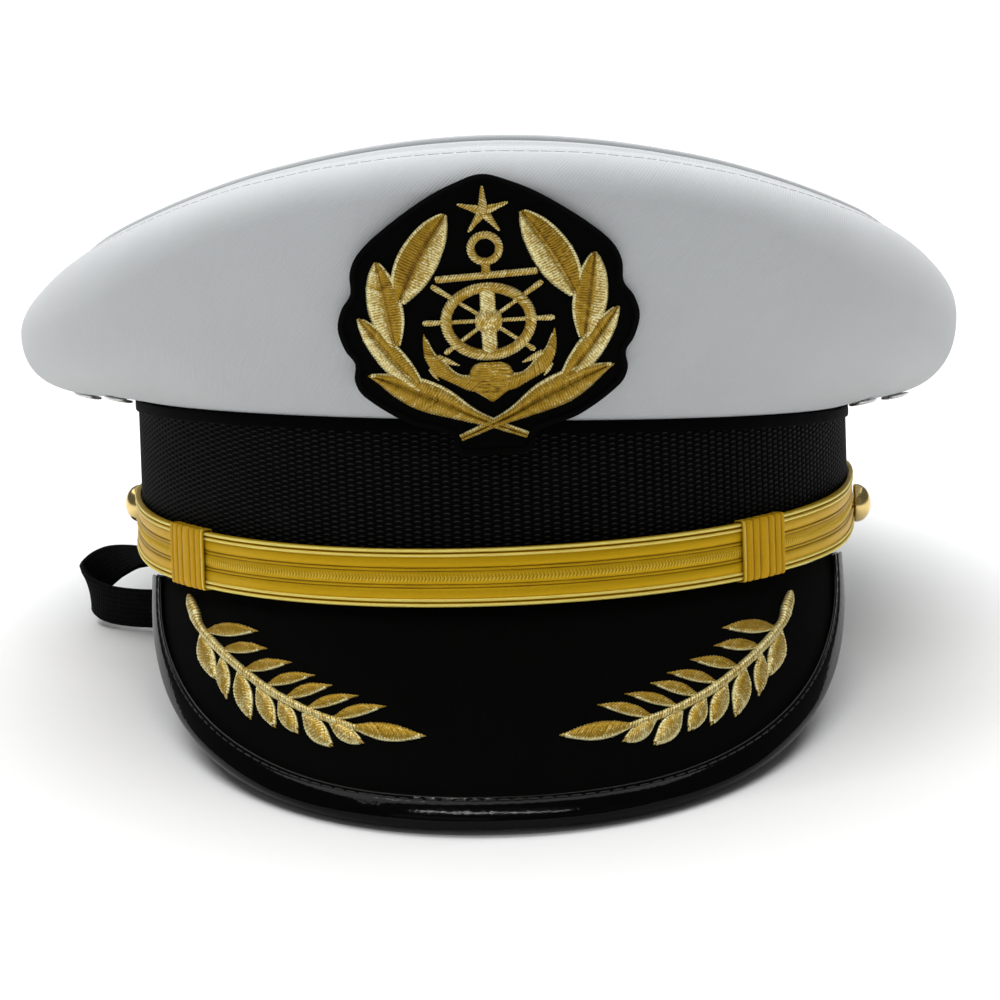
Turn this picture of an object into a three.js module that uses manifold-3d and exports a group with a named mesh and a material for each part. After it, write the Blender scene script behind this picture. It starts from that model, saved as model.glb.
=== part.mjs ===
// A captain's peaked cap, standing as it does on a table: on the front edge of its peak and on the back of
// its band. It has a white cloth crown, a black webbing band, a gold chin strap held by two side buttons, a
// black cloth peak with two gold sprays, a badge with a star, an anchor, a ship's wheel and a wreath, and a
// black elastic that goes under the chin.
//
// Millimetres, +Z up, the front towards -Y and the wearer's left hand side towards +X. The cap's own frame
// has its origin in the middle of the band's oval, level with the band's lowest point. The last section
// leans that frame back until the cap rests on Z = 0.

import * as THREE from 'three';
import { mergeVertices } from 'three/addons/utils/BufferGeometryUtils.js';
import Module from 'manifold-3d';

const wasm = await Module();
wasm.setup();

const { lerp, degToRad, euclideanModulo, clamp, smoothstep } = THREE.MathUtils;

// ---------------------------------------------------------------------------------------------------
// Driving dimensions
// ---------------------------------------------------------------------------------------------------

const GAP = 0.3; // clearance between neighbouring pieces
const ROUND = 52; // steps round the head
const OVAL = { halfWidth: 87, halfDepth: 102.5 }; // outside of the band, for a 58 cm head

const BAND = {
  height: 41.1, // at the front, over the peak
  wall: 2.5,
  frontDip: 5, // how much lower the front of the lower edge is than the sides and the back
  skew: 0.041, // fall of the upper edge towards +X, per millimetre
};
const EDGING = { height: 2.6, thick: 1.0 }; // smooth strip round the band's upper edge

const CLOTH = 1.5;
// One row for each direction round the head, from the front (0) to the back (180 degrees): how far the
// cloth stands out from the band and how high above it where it is widest, how high its rim is, how far the
// roll at the top comes back in, and how slack the cloth below the widest line is (0 taut, 1 drooping).
const CROWN_SECTIONS = [
  { angle: 0, out: 17.5, wide: 51, rise: 61.1, roll: 12, slack: 0 },
  { angle: 30, out: 18.5, wide: 44, rise: 55.8, roll: 14, slack: 0.1 },
  { angle: 60, out: 24.2, wide: 25.1, rise: 42.8, roll: 13, slack: 0.5 },
  { angle: 90, out: 28.2, wide: 18, rise: 29, roll: 12.5, slack: 1 },
  { angle: 135, out: 27.5, wide: 17.5, rise: 28, roll: 13, slack: 1 },
  { angle: 180, out: 24, wide: 17, rise: 27, roll: 13, slack: 1 },
];
const CROWN_STATIONS = [0, 0.15, 0.31, 0.47, 0.6, 0.71, 0.81, 0.91, 1]; // shares of the wall
const CROWN_TOP = { centreRise: 37, fullness: 1.6, rings: [1, 0.8, 0.55, 0.3] };
const WELT_RADIUS = 0.9;

const EYELET = { radius: 3.5, hole: 1.6, barrel: 2, cut: 2.4, seat: 0.7 };
// Their angle round the head, and their share of the way up the crown's wall.
const EYELETS = [
  { name: 'eyelet_right_front', angle: -75.5, along: 0.1 },
  { name: 'eyelet_right_side', angle: -85.5, along: 0.21 },
  { name: 'eyelet_left_front', angle: 74, along: 0.1 },
  { name: 'eyelet_left_side', angle: 85.5, along: 0.21 },
];

const STRAP = {
  width: 13,
  thick: 1.6,
  out: 1.4, // how far it stands off the band, where the keepers go under it
  endThick: 1, // at its ends, where the buttons press it down on the band
  endOut: 0.4,
  settles: [60, 82], // between these angles it comes in to the band
  frontTop: 13,
  sideRise: 9,
  reach: [-100, 93],
  steps: 42,
};
const KEEPERS = [
  { name: 'keeper_right', angle: -52.6 },
  { name: 'keeper_left', angle: 42.6 },
];
const KEEPER = { sweep: 8.8, wall: 0.7, corner: 0.2 };
const BUTTONS = [
  { name: 'button_right', angle: -95, height: 17.5 },
  { name: 'button_left', angle: 87, height: 12.8 },
];
const BUTTON = { radius: 5, dome: 3.6, post: 1.2, postHole: 1.6, foot: 2.6, footThick: 0.8, play: 0.5 };

const PEAK = {
  slope: 56, // degrees below the band's plane
  board: 2.2,
  rootInset: 0.9, // how far inside the band's outer oval the middle of the board starts
  rootDrop: 1, // and how far below the band's lower edge
  halfWidth: 81, // the outer edge, seen from the front, is half a superellipse
  hornHeight: 2,
  drop: 45.65,
  sidePower: 2.75,
  tipPower: 3.02,
  steps: 36,
};
const BINDING = { leg: 7, wall: 0.8, bevel: 0.9, clear: 0.4 };

// The two sprays on the peak, drawn as seen from the front: x from the middle, z from the band's plane.
const SPRAY = {
  lift: 1.2,
  centre: -2.1, // the pair sits a little to one side of the peak's middle,
  turn: -0.022, // and a little turned
};
// Each row is a place on the stem and its width there, from its root to its tip.
const SPRAY_STEM = [[68.9, -1.2, 1], [67.7, -4.9, 2.4], [65.3, -8.4, 1.9], [61.2, -12, 1.8],
  [56.1, -15.8, 1.8], [50.6, -19.2, 1.8], [44.9, -21.9, 1.7], [38.7, -24.1, 1.6], [30.5, -26.4, 1.6]];
// Leaves of a spray: those over the stem from the root onwards, those under it, and the one at its tip.
const SPRAY_LEAVES = [
  { from: [63.2, -9.3], to: [51.2, -8.3], width: 3.2 },
  { from: [59.2, -13], to: [49.2, -11.7], width: 2.7 },
  { from: [54.4, -16.4], to: [43.3, -13.8], width: 2.7 },
  { from: [49.6, -19], to: [38.4, -16.5], width: 2.8 },
  { from: [45, -21.2], to: [34.3, -18.1], width: 2.8 },
  { from: [39.7, -23], to: [28.4, -20], width: 2.9 },
  { from: [34.3, -25], to: [22.5, -21.8], width: 3 },
  { from: [65.3, -8.9], to: [61.9, -18.6], width: 3.7 },
  { from: [60.8, -13], to: [59.4, -23], width: 2.9 },
  { from: [56.5, -15.9], to: [53.6, -26.3], width: 3.7 },
  { from: [52.1, -18.7], to: [47.6, -27.9], width: 3.6 },
  { from: [47.4, -21.3], to: [42.2, -28.8], width: 3.4 },
  { from: [41.6, -23.5], to: [34.4, -30.9], width: 3.8 },
  { from: [35.9, -25], to: [27.3, -30.3], width: 3 },
  { from: [31.5, -26.2], to: [13.7, -28.4], width: 3.9 },
];

// The badge is drawn flat, u across and v up from the wheel's hub, and is then laid on the front of the cap.
const BADGE = {
  hub: 63.9, // height of the wheel's hub on the cap
  stretchUp: 0.938,
  stretchDown: 0.985,
  turn: 1,
  thick: 2,
  clear: 0.35, // a little more than the gap under the embroidery, as the patch is curved
  lift: 1.2,
  rings: [1, 0.66, 0.33],
};
// How far forward the back of the patch stands at each height.
const BADGE_LEAN = [
  { z: 31, forward: 103.3 },
  { z: 40, forward: 104.8 },
  { z: 60, forward: 111.4 },
  { z: 80, forward: 118.1 },
  { z: 98, forward: 122 },
];
const BADGE_CURVE = { low: 80, high: 112, from: 40, to: 90 }; // its radius across, from bottom to top
// Half of the patch's outline, from the top to the bottom. The rest is its mirror image.
const PATCH_OUTLINE = [
  [0, 34.1], [6, 32.3], [12.8, 28.9], [22.3, 22.2], [27.9, 16.9], [29.9, 12.5], [30.1, 7.5],
  [32.3, 4], [33.4, -0.6], [32, -5.5], [30, -8.6], [30.3, -12.5], [28.2, -16.3], [19.2, -22.4],
  [11.4, -24.9], [9.1, -26.2], [9, -28.6], [7, -30.4], [0, -30.5],
];
const STAR = { centre: [0, 25.5], radius: 5.6, points: 5, armWidth: 2.1, waist: 1.42 };
const ANCHOR_RING = { centre: [0, 17], radius: 3.1, width: 1.8 };
const WHEEL = { radiusU: 9.35, radiusV: 7.8, rim: 2.4, spoke: 1.1, shank: 3.5, hub: 2.9 };
const ANCHOR_ARM = [[0, -13.9, 8.4], [3.9, -13.5, 5.6], [5.4, -13.7, 3.2], [9.2, -12, 2.6],
  [11.3, -10.2, 3.4], [13.2, -7.4, 2.4], [14.4, -2.6, 0.4]];
const ANCHOR_BARB = [[11.4, -8.4, 1.6], [6.9, -9.8, 0.4]];
// Leaves on one side of the wreath, from the foot to the tip, and the stem that crosses the other one.
const WREATH_LEAVES = [
  { from: [19.9, 5.4], to: [8.6, 25.2], width: 8.3 },
  { from: [20.9, -4.9], to: [24, 14.8], width: 7.5 },
  { from: [13.8, -14.4], to: [28.7, 1.8], width: 5.9 },
];
const WREATH_STEM = [[-7.4, -26.5, 1.7], [0.2, -23.3, 2.1], [5, -21.2, 3.5], [10.5, -18.4, 6.3],
  [15.6, -16.2, 6.8], [20.8, -14, 5], [27.2, -11.3, 0.4]];

// The chin elastic's route on the floor frame: the middle of the ribbon, and the direction across it.
const ELASTIC = { width: 10, thick: 1.2, steps: 64 };
const ELASTIC_ROUTE = [
  { at: [-77.8, 33.9, 25], across: [0.27, 0.96, 0] },
  { at: [-77.8, 33.9, 17], across: [0.27, 0.96, 0] },
  { at: [-77.9, 33.9, 14], across: [0.25, 0.96, -0.1] },
  { at: [-80, 33.6, 11.7], across: [0.2, 0.96, -0.15] },
  { at: [-86, 32.6, 11.9], across: [0.15, 0.98, -0.08] },
  { at: [-93, 30.5, 13], across: [0.05, 0.95, 0.24] },
  { at: [-98, 27.8, 12.6], across: [-0.1, 0.75, 0.6] },
  { at: [-101.5, 25.2, 11], across: [-0.25, 0.42, 0.86] },
  { at: [-103.2, 22.5, 9.4], across: [-0.3, 0.2, 0.93] },
  { at: [-102.6, 17.5, 7.3], across: [-0.12, 0, 1] },
  { at: [-97, 12.5, 6], across: [0, 0, 1] },
  { at: [-85, 9.5, 5.6], across: [0, 0, 1] },
  { at: [-60, 9, 5.6], across: [0, 0, 1] },
  { at: [-30, 11.5, 5.6], across: [0, 0, 1] },
  { at: [0, 14.5, 5.6], across: [0, 0, 1] },
  { at: [30, 18, 5.6], across: [0, 0, 1] },
  { at: [56, 23, 5.8], across: [0, 0.1, 1] },
  { at: [71, 28.5, 8], across: [-0.1, 0.5, 0.8] },
  { at: [76.8, 33, 13], across: [-0.25, 0.97, 0.1] },
  { at: [77.8, 33.9, 18], across: [-0.27, 0.96, 0] },
  { at: [77.8, 33.9, 25], across: [-0.27, 0.96, 0] },
];

const FINISHES = {
  whiteTwill: { color: 0xd8dcdf, roughness: 0.85, metalness: 0 },
  blackWebbing: { color: 0x141414, roughness: 0.8, metalness: 0 },
  blackFelt: { color: 0x090909, roughness: 0.95, metalness: 0 },
  glossBinding: { color: 0x17171a, roughness: 0.25, metalness: 0 },
  goldBraid: { color: 0xbd982b, roughness: 0.45, metalness: 0.3 },
  goldThread: { color: 0xa88f50, roughness: 0.5, metalness: 0.4 },
  goldMetal: { color: 0xb89a55, roughness: 0.25, metalness: 1 },
  silverMetal: { color: 0xb8bbbe, roughness: 0.3, metalness: 1 },
};

// ---------------------------------------------------------------------------------------------------
// Solids
// ---------------------------------------------------------------------------------------------------

const vec = (x, y, z) => new THREE.Vector3(x, y, z);
const range = (count) => Array.from({ length: count }, (_, i) => i);
const shares = (steps) => range(steps + 1).map((i) => i / steps);

/** A geometry from corner points and triangles, turned so that its faces point outwards. */
function solid(points, triangles) {
  const volume = triangles.reduce((sum, [a, b, c]) => (
    sum + points[a].dot(points[b].clone().cross(points[c]))), 0);
  const facing = volume > 0 ? triangles : triangles.map(([a, b, c]) => [a, c, b]);
  const geometry = new THREE.BufferGeometry();
  geometry.setAttribute('position', new THREE.Float32BufferAttribute(points.flatMap((p) => p.toArray()), 3));
  geometry.setIndex(facing.flat());
  return geometry;
}

/** The triangles that close an outline of that many corners, joined in pairs from both of its ends. */
function lid(corners) {
  const triangles = [];
  for (let low = 0, high = corners - 1; high - low > 1; low += 1, high -= 1) {
    triangles.push([low, low + 1, high]);
    if (high - low > 2) {
      triangles.push([low + 1, high - 1, high]);
    }
  }
  return triangles;
}

/** One solid through cross-sections that each have as many corners; closed joins the last to the first. */
function sweep(sections, closed = false) {
  const corners = sections[0].length;
  const index = (section, corner) => (section % sections.length) * corners + (corner % corners);
  const triangles = [];
  for (let s = 0; s < sections.length - (closed ? 0 : 1); s += 1) {
    for (let c = 0; c < corners; c += 1) {
      triangles.push([index(s, c), index(s, c + 1), index(s + 1, c + 1)]);
      triangles.push([index(s, c), index(s + 1, c + 1), index(s + 1, c)]);
    }
  }
  if (!closed) {
    for (const [a, b, c] of lid(corners)) {
      triangles.push([index(0, a), index(0, c), index(0, b)]);
      triangles.push([a, b, c].map((corner) => index(sections.length - 1, corner)));
    }
  }
  return solid(sections.flat(), triangles);
}

function toManifold(geometry) {
  const bare = geometry.clone();
  bare.deleteAttribute('normal');
  bare.deleteAttribute('uv');
  const merged = mergeVertices(bare);
  return new wasm.Manifold(new wasm.Mesh({
    numProp: 3,
    vertProperties: Float32Array.from(merged.attributes.position.array),
    triVerts: Uint32Array.from(merged.index.array),
  }));
}

function fromManifold(manifold) {
  const mesh = manifold.getMesh();
  const geometry = new THREE.BufferGeometry();
  geometry.setAttribute('position', new THREE.BufferAttribute(mesh.vertProperties, 3));
  geometry.setIndex(new THREE.BufferAttribute(mesh.triVerts, 1));
  return geometry;
}

const join = (geometries) => fromManifold(geometries.map(toManifold).reduce((all, next) => all.add(next)));
const cut = (geometry, tools) => fromManifold(
  tools.map(toManifold).reduce((rest, tool) => rest.subtract(tool), toManifold(geometry)));

/** Turns a geometry that stands along +Y so that it points along a direction from a place. */
function standOn(geometry, place, direction) {
  const turn = new THREE.Quaternion().setFromUnitVectors(vec(0, 1, 0), direction.clone().normalize());
  return geometry.applyQuaternion(turn).translate(place.x, place.y, place.z);
}

const drill = (radius, place, direction) => standOn(
  new THREE.CylinderGeometry(radius, radius, 16, 12), place, direction);

// ---------------------------------------------------------------------------------------------------
// Round the head: angles in degrees from the front, growing towards +X
// ---------------------------------------------------------------------------------------------------

const roundAngles = range(ROUND).map((i) => (360 * i) / ROUND);

/** The level outward direction of the oval. */
function ovalNormal(angle) {
  const turn = degToRad(angle);
  return vec(Math.sin(turn) / OVAL.halfWidth, -Math.cos(turn) / OVAL.halfDepth, 0).normalize();
}

/** A point at a distance outside the band's outer oval, at a height. */
function ovalPoint(angle, out, height) {
  const turn = degToRad(angle);
  const onOval = vec(OVAL.halfWidth * Math.sin(turn), -OVAL.halfDepth * Math.cos(turn), height);
  return onOval.addScaledVector(ovalNormal(angle), out);
}

const isFront = (angle) => Math.cos(degToRad(angle)) > 0;
const bandBottom = (angle) => BAND.frontDip * (isFront(angle) ? Math.sin(degToRad(angle)) ** 2 : 1);
const bandTop = (angle) => BAND.height - BAND.skew * ovalPoint(angle, 0, 0).x;
const strapTop = (angle) => STRAP.frontTop + STRAP.sideRise * (1 - Math.cos(degToRad(angle)));

/** How far the strap stands off the band, and its thickness there. */
function strapLie(angle) {
  const settled = smoothstep(Math.abs(angle), ...STRAP.settles);
  return { out: lerp(STRAP.out, STRAP.endOut, settled), thick: lerp(STRAP.thick, STRAP.endThick, settled) };
}

/** A smooth curve through the rows of a table, level at its ends. */
function smoothTable(rows, key) {
  const columns = Object.keys(rows[0]).filter((column) => column !== key);
  const values = rows.flatMap((row) => columns.map((column) => row[column]));
  const curve = new THREE.CubicInterpolant(rows.map((row) => row[key]), values, columns.length);
  return (place) => {
    const found = curve.evaluate(place);
    return Object.fromEntries(columns.map((column, i) => [column, found[i]]));
  };
}

const crownRow = smoothTable(
  [{ ...CROWN_SECTIONS[1], angle: -CROWN_SECTIONS[1].angle }, ...CROWN_SECTIONS,
    { ...CROWN_SECTIONS[4], angle: 360 - CROWN_SECTIONS[4].angle }], 'angle');

// ---------------------------------------------------------------------------------------------------
// Crown
// ---------------------------------------------------------------------------------------------------

/** The crown's wall in one direction: outwards and upwards from the band's upper edge to the rim. */
function crownProfile(angle) {
  const { out, wide, rise, roll, slack } = crownRow(Math.abs(euclideanModulo(angle + 180, 360) - 180));
  const profile = new THREE.Path();
  profile.moveTo(0, 0);
  profile.bezierCurveTo(
    out * lerp(0.36, 0.62, slack), wide * lerp(0.3, 0.04, slack),
    out * lerp(0.86, 1, slack), wide * lerp(0.68, 0.2, slack), out, wide);
  profile.absellipse(out - roll, wide, roll, rise - wide, 0, Math.PI / 2, false, 0);
  return { profile, rise };
}

/** A point of the crown's wall: its share of the way up, and its depth below the outer face. */
function crownPoint(angle, share, depth) {
  const { profile, rise } = crownProfile(angle);
  const at = profile.getPoint(share);
  const along = profile.getTangent(share);
  const [out, up] = [at.x - along.y * depth, at.y + along.x * depth];
  const skew = (bandTop(angle) - BAND.height) * clamp(1 - up / rise, 0, 1);
  return ovalPoint(angle, out, BAND.height + GAP + up + skew);
}

/** The outward direction of the crown's wall. */
const crownNormal = (angle, share) => crownPoint(angle, share, -1).sub(crownPoint(angle, share, 0));

function crownSide() {
  const wall = sweep(roundAngles.map((angle) => [
    ...CROWN_STATIONS.map((share) => crownPoint(angle, share, 0)),
    ...CROWN_STATIONS.toReversed().map((share) => crownPoint(angle, share, CLOTH)),
  ]), true);
  return cut(wall, EYELETS.map(({ angle, along }) => drill(
    EYELET.cut, crownPoint(angle, along, 0), crownNormal(angle, along))));
}

/** A point of the top panel: its share of the way from the middle to the rim, and its depth. */
function topPoint(angle, share, depth) {
  const rim = crownPoint(angle, 1, 0).addScaledVector(ovalNormal(angle), -GAP);
  const centre = BAND.height + CROWN_TOP.centreRise;
  const height = lerp(centre, rim.z, share ** CROWN_TOP.fullness);
  return vec(rim.x * share, rim.y * share, height - depth);
}

function crownTop() {
  const ring = (share, depth) => roundAngles.map((angle) => topPoint(angle, share, depth));
  return sweep([
    ...CROWN_TOP.rings.toReversed().map((share) => ring(share, 0)),
    ...CROWN_TOP.rings.map((share) => ring(share, CLOTH)),
  ]);
}

function crownWelt() {
  return sweep(roundAngles.map((angle) => {
    const middle = crownPoint(angle, 1, 0).addScaledVector(ovalNormal(angle), -GAP / 2);
    return range(6).map((i) => {
      const turn = degToRad(60 * i + 30);
      return middle.clone().addScaledVector(ovalNormal(angle), WELT_RADIUS * Math.cos(turn))
        .add(vec(0, 0, GAP + WELT_RADIUS * (1 + Math.sin(turn))));
    });
  }), true);
}

function eyelet({ angle, along }) {
  const { radius, hole, barrel, seat } = EYELET;
  const profile = [[hole, -1.8], [barrel, -1.8], [barrel, seat], [radius, seat], [radius - 0.5, seat + 0.8],
    [barrel, seat + 0.9], [hole, seat + 0.4], [hole, -1.8]];
  const ring = new THREE.LatheGeometry(profile.map(([r, h]) => new THREE.Vector2(r, h)), 12);
  return standOn(ring, crownPoint(angle, along, 0), crownNormal(angle, along));
}

// ---------------------------------------------------------------------------------------------------
// Band, chin strap and buttons
// ---------------------------------------------------------------------------------------------------

const postHoles = () => BUTTONS.map(({ angle, height }) => drill(
  BUTTON.postHole, ovalPoint(angle, 0, height), ovalNormal(angle)));

function band() {
  const ring = sweep(roundAngles.map((angle) => [
    ovalPoint(angle, 0, bandBottom(angle)), ovalPoint(angle, 0, bandTop(angle)),
    ovalPoint(angle, -BAND.wall, bandTop(angle)), ovalPoint(angle, -BAND.wall, bandBottom(angle)),
  ]), true);
  return cut(ring, postHoles());
}

function bandEdging() {
  const [inner, outer] = [GAP, GAP + EDGING.thick];
  return sweep(roundAngles.map((angle) => [
    ovalPoint(angle, outer, bandTop(angle) - EDGING.height), ovalPoint(angle, outer, bandTop(angle)),
    ovalPoint(angle, inner, bandTop(angle)), ovalPoint(angle, inner, bandTop(angle) - EDGING.height),
  ]), true);
}

function chinStrap() {
  const ribbon = sweep(shares(STRAP.steps).map((share) => {
    const angle = lerp(...STRAP.reach, share);
    const { out, thick } = strapLie(angle);
    const [top, bottom] = [strapTop(angle), strapTop(angle) - STRAP.width];
    return [ovalPoint(angle, out + thick, bottom), ovalPoint(angle, out + thick, top),
      ovalPoint(angle, out, top), ovalPoint(angle, out, bottom)];
  }));
  return cut(ribbon, postHoles());
}

/** A loop round the strap, with cut corners, at a distance from it. */
function keeperLoop(distance) {
  const [halfThick, halfWidth] = [STRAP.thick / 2 + distance, STRAP.width / 2 + distance];
  const corner = KEEPER.corner;
  return [[1, -1], [1, 1], [-1, 1], [-1, -1]].flatMap(([thickSide, widthSide]) => {
    const cornerPair = [
      [thickSide * halfThick, widthSide * (halfWidth - corner)],
      [thickSide * (halfThick - corner), widthSide * halfWidth],
    ];
    return thickSide === widthSide ? cornerPair : cornerPair.toReversed();
  });
}

function keeper({ angle: middle }) {
  const [inner, outer] = [keeperLoop(GAP), keeperLoop(GAP + KEEPER.wall)];
  const angles = shares(3).map((share) => middle + KEEPER.sweep * (share - 0.5));
  const place = (angle, [out, up]) => ovalPoint(
    angle, STRAP.out + STRAP.thick / 2 + out, strapTop(angle) - STRAP.width / 2 + up);
  return sweep(inner.map((near, i) => [
    ...angles.map((angle) => place(angle, near)),
    ...angles.toReversed().map((angle) => place(angle, outer[i])),
  ]), true);
}

function button({ angle, height }) {
  const { radius, dome, post, foot, footThick, play } = BUTTON;
  const strap = strapLie(angle);
  const seat = strap.out + strap.thick + GAP;
  const length = seat + BAND.wall + play;
  const domed = [10, 30, 50, 70].map((rise) => (
    [radius * Math.cos(degToRad(rise)), dome * Math.sin(degToRad(rise))]));
  const profile = [[0, -length - footThick], [foot, -length - footThick], [foot, -length], [post, -length],
    [post, 0], [radius - 0.3, 0], ...domed, [0, dome]];
  const turned = new THREE.LatheGeometry(profile.map(([r, h]) => new THREE.Vector2(r, h)), 16);
  return standOn(turned, ovalPoint(angle, seat, height), ovalNormal(angle));
}

// ---------------------------------------------------------------------------------------------------
// Peak: a board that is straight down its slope and bends only round the head
// ---------------------------------------------------------------------------------------------------

const peakSlope = degToRad(PEAK.slope);
const DOWN_SLOPE = vec(0, -Math.cos(peakSlope), -Math.sin(peakSlope));

/** The middle of the board where it leaves the band. */
const peakRoot = (angle) => ovalPoint(angle, -PEAK.rootInset, bandBottom(angle) - PEAK.rootDrop);

/** The direction round the head in the board, per degree. */
const peakRound = (angle) => peakRoot(angle + 0.5).sub(peakRoot(angle - 0.5));

/** A point of the peak: its distance down the slope and its height over the middle of the board. */
function peakPoint(angle, down, height) {
  const normal = peakRound(angle).cross(DOWN_SLOPE).normalize();
  return peakRoot(angle).addScaledVector(DOWN_SLOPE, down).addScaledVector(normal, -height);
}

/** Where on the board a point lies that is seen from the front at x and z. */
function peakFromFront(x, z) {
  const angle = THREE.MathUtils.radToDeg(Math.asin(x / (OVAL.halfWidth - PEAK.rootInset)));
  return { angle, down: (peakRoot(angle).z - z) / Math.sin(peakSlope) };
}

/** The peak's outer edge, for a turn from -90 degrees at one horn to 90 at the other. */
function peakEdge(turn) {
  const [s, c] = [Math.sin(degToRad(turn)), Math.max(Math.cos(degToRad(turn)), 0)];
  const x = PEAK.halfWidth * Math.sign(s) * Math.abs(s) ** (2 / PEAK.sidePower);
  return peakFromFront(x, PEAK.hornHeight - (PEAK.drop + PEAK.hornHeight) * c ** (2 / PEAK.tipPower));
}

/** A place on the board that far inside its outer edge. */
function insideEdge(turn, inset) {
  const edge = peakEdge(turn);
  const pointAt = (near) => {
    const { angle, down } = peakEdge(clamp(near, -90, 90));
    return peakPoint(angle, down, 0);
  };
  const along = pointAt(turn + 0.2).sub(pointAt(turn - 0.2));
  const round = peakRound(edge.angle);
  const inwards = along.cross(round.clone().cross(DOWN_SLOPE)).normalize().multiplyScalar(inset);
  const across = round.dot(DOWN_SLOPE);
  const turned = (inwards.dot(round) - inwards.dot(DOWN_SLOPE) * across) / (round.lengthSq() - across ** 2);
  const down = edge.down + inwards.dot(DOWN_SLOPE) - turned * across;
  return { angle: edge.angle + turned, down: Math.max(down, 0) };
}

/** Turns whose places on the outer edge are about evenly spaced. */
const peakTurns = shares(PEAK.steps).map((share) => {
  const side = Math.abs(2 * share - 1);
  const near = side ** (PEAK.sidePower / 2);
  return (Math.sign(2 * share - 1) * 90 * near) / (near + (1 - side) ** (PEAK.tipPower / 2));
});

function peakBoard() {
  const [half, edgeInset] = [PEAK.board / 2, BINDING.wall + 2 * BINDING.clear];
  return sweep(peakTurns.map((turn) => {
    const { angle, down } = insideEdge(turn, edgeInset);
    return [
      ...[0, 0.5, 1].map((share) => peakPoint(angle, down * share, half)),
      ...[1, 0.5, 0].map((share) => peakPoint(angle, down * share, -half)),
    ];
  }));
}

function peakBinding() {
  const { leg, wall, bevel, clear } = BINDING;
  const inner = PEAK.board / 2 + clear;
  const outer = inner + wall;
  const web = wall + clear;
  const section = [[leg, outer], [bevel, outer], [0, outer / 2], [0, -outer / 2], [bevel, -outer],
    [leg, -outer], [leg, -inner], [web, -inner], [web, -inner / 2], [web, inner / 2], [web, inner],
    [leg, inner]];
  return sweep(peakTurns.map((turn) => section.map(([inset, height]) => {
    const { angle, down } = insideEdge(turn, inset);
    return peakPoint(angle, down, height);
  })));
}

// ---------------------------------------------------------------------------------------------------
// Embroidery: strokes with a ridge along the middle, laid on the surface below
// ---------------------------------------------------------------------------------------------------

/** A stroke through stations of [u, v, width]. The function place puts a flat point on the surface. */
function stroke(place, stations, lift, closed = false) {
  const count = stations.length;
  return sweep(stations.map(([u, v, width], i) => {
    const before = stations[closed ? (i + count - 1) % count : Math.max(i - 1, 0)];
    const after = stations[closed ? (i + 1) % count : Math.min(i + 1, count - 1)];
    const along = new THREE.Vector2(after[0] - before[0], after[1] - before[1]).normalize();
    const [du, dv] = [(-along.y * width) / 2, (along.x * width) / 2];
    return [place(u + du, v + dv, GAP), place(u, v, GAP + lift), place(u - du, v - dv, GAP)];
  }), closed);
}

/** The stations of a leaf that is widest before its middle and ends in a point. */
function leaf([u, v], [toU, toV], width) {
  const fullness = [[0, 0.35], [0.25, 0.9], [0.6, 0.92], [1, 0.1]];
  return fullness.map(([share, full]) => [lerp(u, toU, share), lerp(v, toV, share), width * full]);
}

const mirrored = (stations, side) => stations.map(([u, ...rest]) => [side * u, ...rest]);

function peakSpray(side) {
  const place = (x, z, height) => {
    const { angle, down } = peakFromFront(x + SPRAY.centre, z + SPRAY.turn * x);
    return peakPoint(angle, down, PEAK.board / 2 + height);
  };
  const leaves = SPRAY_LEAVES.map(({ from, to, width }) => leaf(from, to, width));
  return join([SPRAY_STEM, ...leaves].map((stations) => (
    stroke(place, mirrored(stations, side), SPRAY.lift))));
}

const badgeLean = smoothTable(BADGE_LEAN, 'z');

/** A point of the badge, at a height over the back of its patch. */
function badgePoint(u, v, height) {
  const turn = degToRad(BADGE.turn);
  const across = u * Math.cos(turn) - v * Math.sin(turn);
  const rise = u * Math.sin(turn) + v * Math.cos(turn);
  const z = BADGE.hub + rise * (rise > 0 ? BADGE.stretchUp : BADGE.stretchDown);
  const upShare = clamp((z - BADGE_CURVE.from) / (BADGE_CURVE.to - BADGE_CURVE.from), 0, 1);
  const radius = lerp(BADGE_CURVE.low, BADGE_CURVE.high, upShare);
  return vec(across, across ** 2 / (2 * radius) - badgeLean(z).forward - height, z);
}

const onPatch = (u, v, height) => badgePoint(u, v, BADGE.thick + BADGE.clear + height);

function badgePatch() {
  const other = mirrored(PATCH_OUTLINE.slice(1, -1), -1).toReversed();
  const outline = [...PATCH_OUTLINE, ...other];
  const ring = (share, height) => outline.map(([u, v]) => badgePoint(u * share, v * share, height));
  return sweep([
    ...BADGE.rings.toReversed().map((share) => ring(share, BADGE.thick)),
    ...BADGE.rings.map((share) => ring(share, 0)),
  ]);
}

function badgeStar() {
  const [u, v] = STAR.centre;
  return join(range(STAR.points).map((i) => {
    const turn = (2 * Math.PI * i) / STAR.points;
    const arm = [[0, STAR.armWidth], [STAR.waist, STAR.armWidth], [STAR.radius, 0.3]];
    return stroke(onPatch, arm.map(([distance, width]) => (
      [u + distance * Math.sin(turn), v + distance * Math.cos(turn), width])), BADGE.lift);
  }));
}

/** The stations of an oval ring of thread. */
const ringStations = ([u, v], radiusU, radiusV, width, steps) => range(steps).map((i) => {
  const turn = (2 * Math.PI * i) / steps;
  return [u + radiusU * Math.sin(turn), v + radiusV * Math.cos(turn), width];
});

function badgeAnchorHead() {
  const { centre, radius, width } = ANCHOR_RING;
  return join([
    stroke(onPatch, ringStations(centre, radius, radius, width, 14), BADGE.lift, true),
    stroke(onPatch, [[0, 14.2, 2.4], [0, 10.6, 2.4]], BADGE.lift),
    stroke(onPatch, [[-10.6, 10.1, 1.5], [0, 10.6, 1.6], [10.6, 11.1, 1.5]], BADGE.lift),
  ]);
}

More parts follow.
